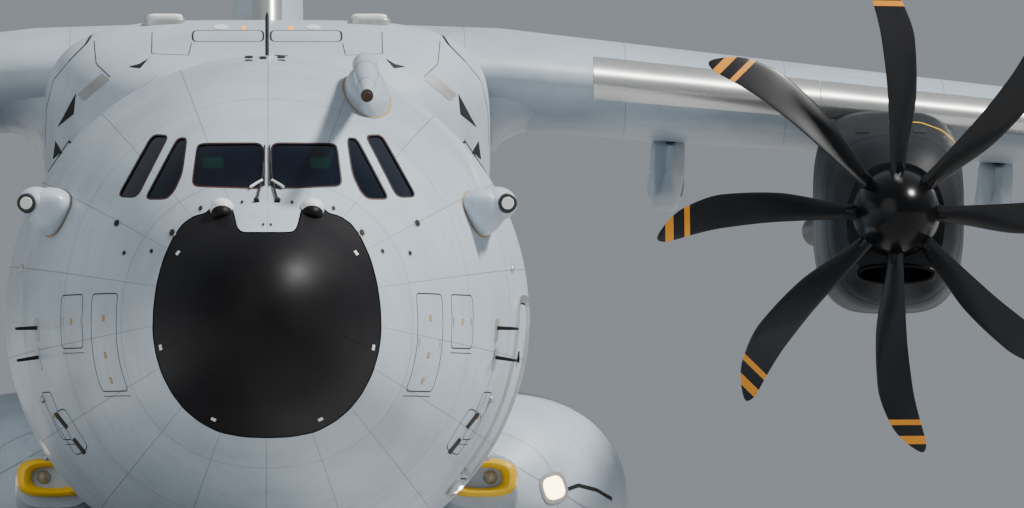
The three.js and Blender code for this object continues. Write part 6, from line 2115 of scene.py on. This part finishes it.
@dataclass
class FairingDetails:
    """What is on the wing's fairing: seams, inlets, patches, crown panels, and the roots' fillets."""

    reach: Span = (8.6, 17.5)
    seam: tuple[Span, ...] = (
        (1.88, 6.65), (2.0, 6.42), (2.19, 6.22), (2.36, 6.02), (2.44, 5.7), (2.455, 5.3))
    joints: tuple[tuple[Span, ...], ...] = (
        ((1.91, 6.456), (1.878, 6.178), (1.72, 6.02)),
        ((1.267, 6.55), (1.267, 6.278), (0.86, 6.256), (0.83, 6.4)))
    fittings: tuple[Spot, ...] = (
        (-0.194, 6.09, 0.085), (-0.043, 6.074, 0.08), (0.15, 6.09, 0.085), (-0.194, 6.026, 0.085),
        (0.15, 6.026, 0.085), (-0.02, 5.89, 0.08), (0.156, 6.135, 0.16))
    front: tuple[Span, ...] = ((1.2, 6.02), (1.62, 5.72), (1.9, 5.5), (2.12, 5.26), (2.32, 4.97))
    inlets: tuple[tuple[Span, ...], ...] = (
        ((1.3, 6.22), (1.39, 6.11), (1.52, 6.13), (1.4, 6.16)),
        ((2.1, 5.85), (2.125, 5.62), (2.31, 5.49), (2.24, 5.6)),
        ((2.33, 5.34), (2.26, 5.22), (2.36, 5.14)))
    brow: tuple[Span, ...] = ((1.81, 6.063), (2.085, 5.836), (2.01, 5.756), (1.722, 5.99))
    pod: Pod = field(default_factory=lambda: Pod(Fairing.rows))

    def line(self, points: tuple[Span, ...], width: float) -> Solid:
        """A thin line on the fairing by x and z from ahead."""
        return ribbon(self.pod, seen(self.pod, *finer(points, 0.03).T, self.reach), width, 0.001)

    def crown(self) -> None:
        """The panels, lamps, bright boxes and small fittings on the fairing's brow."""
        loop = frame_of([(0.04, 6.42), (0.82, 6.42), (0.82, 6.56), (0.04, 6.56)], 0.05)
        pair("brow_panels", ribbon(self.pod, seen(self.pod, *loop.T, self.reach), 0.01, 0.0012), DARK)
        pair("brow_lamps", plaque(self.pod, (0.51, 6.6), (0.16, 0.06), self.reach, 0.004, 0.006, 0.0, 2),
             PALE)
        pair("brow_markers", plaque(self.pod, (0.26, 6.59), (0.05, 0.04), self.reach, 0.004), AMBER, GLAZING)
        pair("brow_boxes", lump((1.13, 14.05, 6.68), (0.2, 0.26, 0.085)), PALE)
        pair("brow_box_bases", lump((1.13, 14.05, 6.66), (0.23, 0.31, 0.06)), HUB)
        marks = [plaque(HULL, (x, z), (wide, 0.034), (6.0, 12.4), 0.005, 0.008, 0.0, 3)
                 for x, z, wide in self.fittings]
        piece("crown_fittings", Solid.joined(marks), DARK)

    def ladders(self) -> list[Solid]:
        """The slotted strips where the fairing's front meets the hull: two rails and their rungs."""
        rungs = [self.line(((2.1 + 0.26 * t, 5.3 - 0.36 * t), (2.17 + 0.25 * t, 5.34 - 0.34 * t)), 0.012)
                 for t in (0.05, 0.4, 0.48, 0.92)]
        return [self.line(((2.1, 5.3), (2.36, 4.94)), 0.007), self.line(((2.17, 5.34), (2.42, 5.0)), 0.007),
                *rungs]

    def fillet(self) -> Solid:
        """The hollow fairing in the corner under the root: a quarter circle that fades fore and aft."""
        under = WING.point(2.75, np.linspace(0.012, 0.9, 72), -1.0)
        _, station, height = (v[:, None] for v in full(under).T)
        grown = np.clip((station - station[0]) / 0.7, 0, 1)
        size = 0.5 * np.sqrt(np.clip(1 - (1 - grown) ** 2, 0.03, 1))
        size = size * np.clip((station[-1] - station) / 2.5, 0.05, 1) ** 0.6
        turn = np.linspace(0, np.pi / 2, 20)
        wall = self.pod.side_point(station, height - 0.1)[..., 0] / SCALE
        corner = 0.09
        hollow_x, hollow_z = wall + size * (1 - np.cos(turn)), height - size * (1 - np.sin(turn))
        x = np.concatenate([wall - corner, hollow_x, hollow_x[:, -1:], wall - corner], axis=1)
        z = np.concatenate([hollow_z[:, :1], hollow_z, hollow_z[:, -1:] + corner, hollow_z[:, -1:] + corner],
                           axis=1)
        return Solid.through(place(x, station, z))

    def build(self) -> None:
        """Make everything on both sides."""
        pair("fairing_seams", [self.line(self.seam, 0.008), self.line(self.seam[:3], 0.02)], SEAL)
        pair("fairing_joints", [self.line(points, 0.005) for points in self.joints], PANEL)
        pair("fairing_front_seams", self.line(self.front, 0.005), HUB)
        # Painted shade: each inlet is a flat dark patch standing for the shade inside its opening.
        pair("fairing_inlets", [patch(self.pod, outline, self.reach, 0.002) for outline in self.inlets], DARK)
        pair("fairing_patches", patch(self.pod, self.brow, self.reach, 0.002), HUB)
        pair("root_fillet", self.fillet(), PLAIN_SKIN)
        self.crown()
        pair("slotted_strips", self.ladders(), DARK)


@dataclass
class SponsonIntake:
    """The yellow-lipped intake between each sponson's front and the hull, with a grey cone in its mouth.

    lip holds depths behind the mouth and how far inwards the lip lies there; duct holds depths and
    each section's middle x and z and half width and height.
    """

    station: float = 13.12
    centre: Span = (2.36, 1.63)
    half: Span = (0.4, 0.215)
    power: float = 3.0
    flat: float = 0.6
    lip: tuple[Span, ...] = (
        (0.26, 0.18), (0.07, 0.17), (0.02, 0.155), (-0.015, 0.12), (-0.03, 0.085), (-0.015, 0.045),
        (0.02, 0.016),
        (0.07, 0.003), (0.14, 0.0))
    duct: tuple[tuple[float, ...], ...] = (
        (0.12, 2.36, 1.63, 0.396, 0.213), (0.15, 2.355, 1.59, 0.41, 0.29), (0.3, 2.35, 1.55, 0.43, 0.34),
        (0.6, 2.34, 1.5, 0.45, 0.36), (1.0, 2.34, 1.5, 0.45, 0.36))
    cone: tuple[Span, ...] = ((0.02, 0.002), (0.05, 0.045), (0.12, 0.08), (0.25, 0.1), (0.27, 0.1))
    cone_at: Span = (2.46, 1.635)

    def body(self, rows: tuple[tuple[float, ...], ...]) -> Solid:
        """A closed body through superellipses."""
        turn = turns(96)
        depth, x, z, wide, high = np.array(rows).T[:, :, None]
        return Solid.through(place(
            x + wide * bent(np.cos(turn), self.power), self.station + depth,
            z + high * bent(np.sin(turn), self.power)))

    def lip_body(self, rows: tuple[Span, ...]) -> Solid:
        """A closed body through the mouth's outline, moved inwards."""
        (x, z), (wide, high) = self.centre, self.half
        return self.body(tuple((depth, x, z, wide - by, high - self.flat * by) for depth, by in rows))

    def build(self) -> None:
        """Make both intakes."""
        depth, by = self.lip[0]
        start = place(self.cone_at[0], self.station, self.cone_at[1])
        pair("intake_yellow_lip", self.lip_body(self.lip), YELLOW)
        pair("intake_duct", self.body(self.duct), PLAIN_SKIN)
        # Painted shade: a dark plate across the throat stands for the shade deep inside the duct.
        pair("intake_throat", self.lip_body(((depth - 0.01, by), (depth, by))), DARK)
        pair("intake_cone", Solid.lathe(np.array(self.cone) * SCALE, start, AFT, 48), HUB)


@dataclass
class Lamps:
    """Position lamps, beacons, and the thin wicks on the trailing edges."""

    wicks: tuple[float, ...] = (15.6, 16.7, 17.8, 18.9, 20.0, 20.8)

    def build(self) -> None:
        """Make the lamps and the wicks."""
        x, station, z = full(WING.point(21.0, 0.12, 1.0))
        tip = ellipsoid((x - 0.03, station, z - 0.02), (0.07, 0.22, 0.045), 32)
        for side, finish in ((Side.LEFT, RED_LAMP), (Side.RIGHT, GREEN_LAMP)):
            piece(f"tip_lamp_{side.word}", tip.on(side), finish, GLAZING)
        beacons = [ellipsoid((0.0, 24.9, 6.2), (0.09, 0.14, 0.09), 32),
                   ellipsoid((0.0, 12.6, 0.55), (0.09, 0.14, 0.08), 32)]
        piece("beacons", Solid.joined(beacons), RED_LAMP, GLAZING)
        piece("tail_lamp", ellipsoid((0.0, 43.28, 14.17), (0.05, 0.1, 0.05), 24), PALE, GLAZING)
        wick = np.linspace(0, 1, 6)[:, None] * [0, 0.14, -0.02]
        pair("wing_wicks", [Solid.tube(WING.point(out, 0.995, 1.0) + wick, 0.0018, 8) for out in self.wicks],
             DARK, COMPOSITE)


@dataclass
class Studio:
    """A plain pale floor, soft light, and a camera far ahead of the nose, low and a little to one side.

    suns holds each lamp's name, the way to it, its strength, and how wide it is in degrees.
    """

    distance: float = 200.0
    eye: float = 0.8
    aim_station: float = 8.0
    focal_pixels: float = 18620.0
    sensor: float = 36.0
    vanishing: Span = (267.0, 553.0)
    suns: tuple[tuple[str, Spot, float, float], ...] = (
        ("key", (0.58, -0.02, 0.8), 5.6, 8.0), ("fill", (-0.5, -0.7, 0.35), 0.7, 50.0))
    surround: tuple[float, float, float, float] = (0.62, 0.67, 0.74, 1.0)
    floor_half: float = 260.0

    @staticmethod
    def link(name: str, data: bpy.types.ID) -> bpy.types.Object:
        """A camera or a lamp as an object in the scene."""
        made = bpy.data.objects.new(name, data)
        bpy.context.scene.collection.objects.link(made)
        return made

    def camera(self) -> None:
        """Place the camera on the centre line, turned so that the way aft meets the vanishing point."""
        data = bpy.data.cameras.new("photo_camera")
        data.sensor_width = self.sensor
        data.lens = self.focal_pixels * self.sensor / PHOTO_SIZE[0]
        data.clip_start, data.clip_end = 1.0, 1200.0
        made = self.link("photo_camera", data)
        made.location = place(0.0, self.aim_station - self.distance, self.eye)
        right, up = PHOTO_SIZE[0] / 2 - self.vanishing[0], self.vanishing[1] - PHOTO_SIZE[1] / 2
        made.rotation_euler = (
            math.pi / 2 + math.atan(up / self.focal_pixels), 0.0, -math.atan(right / self.focal_pixels))
        bpy.context.scene.camera = made

    def light(self) -> None:
        """Plain soft studio light: a wide key from port and above, a weaker fill, and a pale surround."""
        for name, way, power, spread in self.suns:
            data = bpy.data.lights.new(name, "SUN")
            data.energy, data.angle, data.color = power, math.radians(spread), (1.0, 0.985, 0.96)
            made = self.link(name, data)
            made.rotation_mode = "QUATERNION"
            made.rotation_quaternion = Vector(way).to_track_quat("Z", "Y")
        world = bpy.data.worlds.new("surround")
        bpy.context.scene.world = world
        world.use_nodes = True
        back = world.node_tree.nodes["Background"].inputs
        back["Color"].default_value, back["Strength"].default_value = self.surround, 0.42

    def floor(self) -> None:
        """A plain pale floor, with a hardly visible grain."""
        n = Nodes("floor")
        grain = n.noise(n.node("TexCoord").outputs["Object"], 0.8)
        half = self.floor_half
        corners = np.array([(-half, -half, 0), (half, -half, 0), (half, half, 0), (-half, half, 0)], float)
        made = Blank(Solid(corners, np.array([[0, 1, 2, 3]]))).made
        made.name = made.data.name = "floor"
        colour = n.mix(grain, tone(176, 177, 178), tone(170, 171, 172))
        made.data.materials.append(n.shader({"Base Color": colour, "Roughness": 0.8}))
        made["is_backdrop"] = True

    def build(self) -> None:
        """Set the scene round the aeroplane."""
        self.floor()
        self.light()
        self.camera()


def write_sizes() -> None:
    """Gather the CAD model's box and the visual model's box, each as its lowest and highest corner; nothing
    is written.
    """
    boxes = {"cad": CAD_BOX, "visual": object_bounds()}
    plain = {name: [[float(v) for v in corner] for corner in box] for name, box in boxes.items()}


def main() -> None:
    """Build the aeroplane in order."""
    windows, radome = Windows(), Radome()
    steps = [radome, windows, Fuselage(radome, windows), RearOpening(), Fairing(), Wings(), Tail()]
    for engine in ENGINES:
        steps += [Nacelle(engine), Propeller(engine)]
    steps += [Sponson(), SponsonIntake(), LandingGear(), Probe(), NoseDetails(), Flanks(), FairingDetails()]
    steps += [Cockpit(), Lamps(), Studio()]
    for step in steps:
        LOG.info("building %s", type(step).__name__)
        step.build()


if __name__ == "__main__":
    main()
    write_sizes()
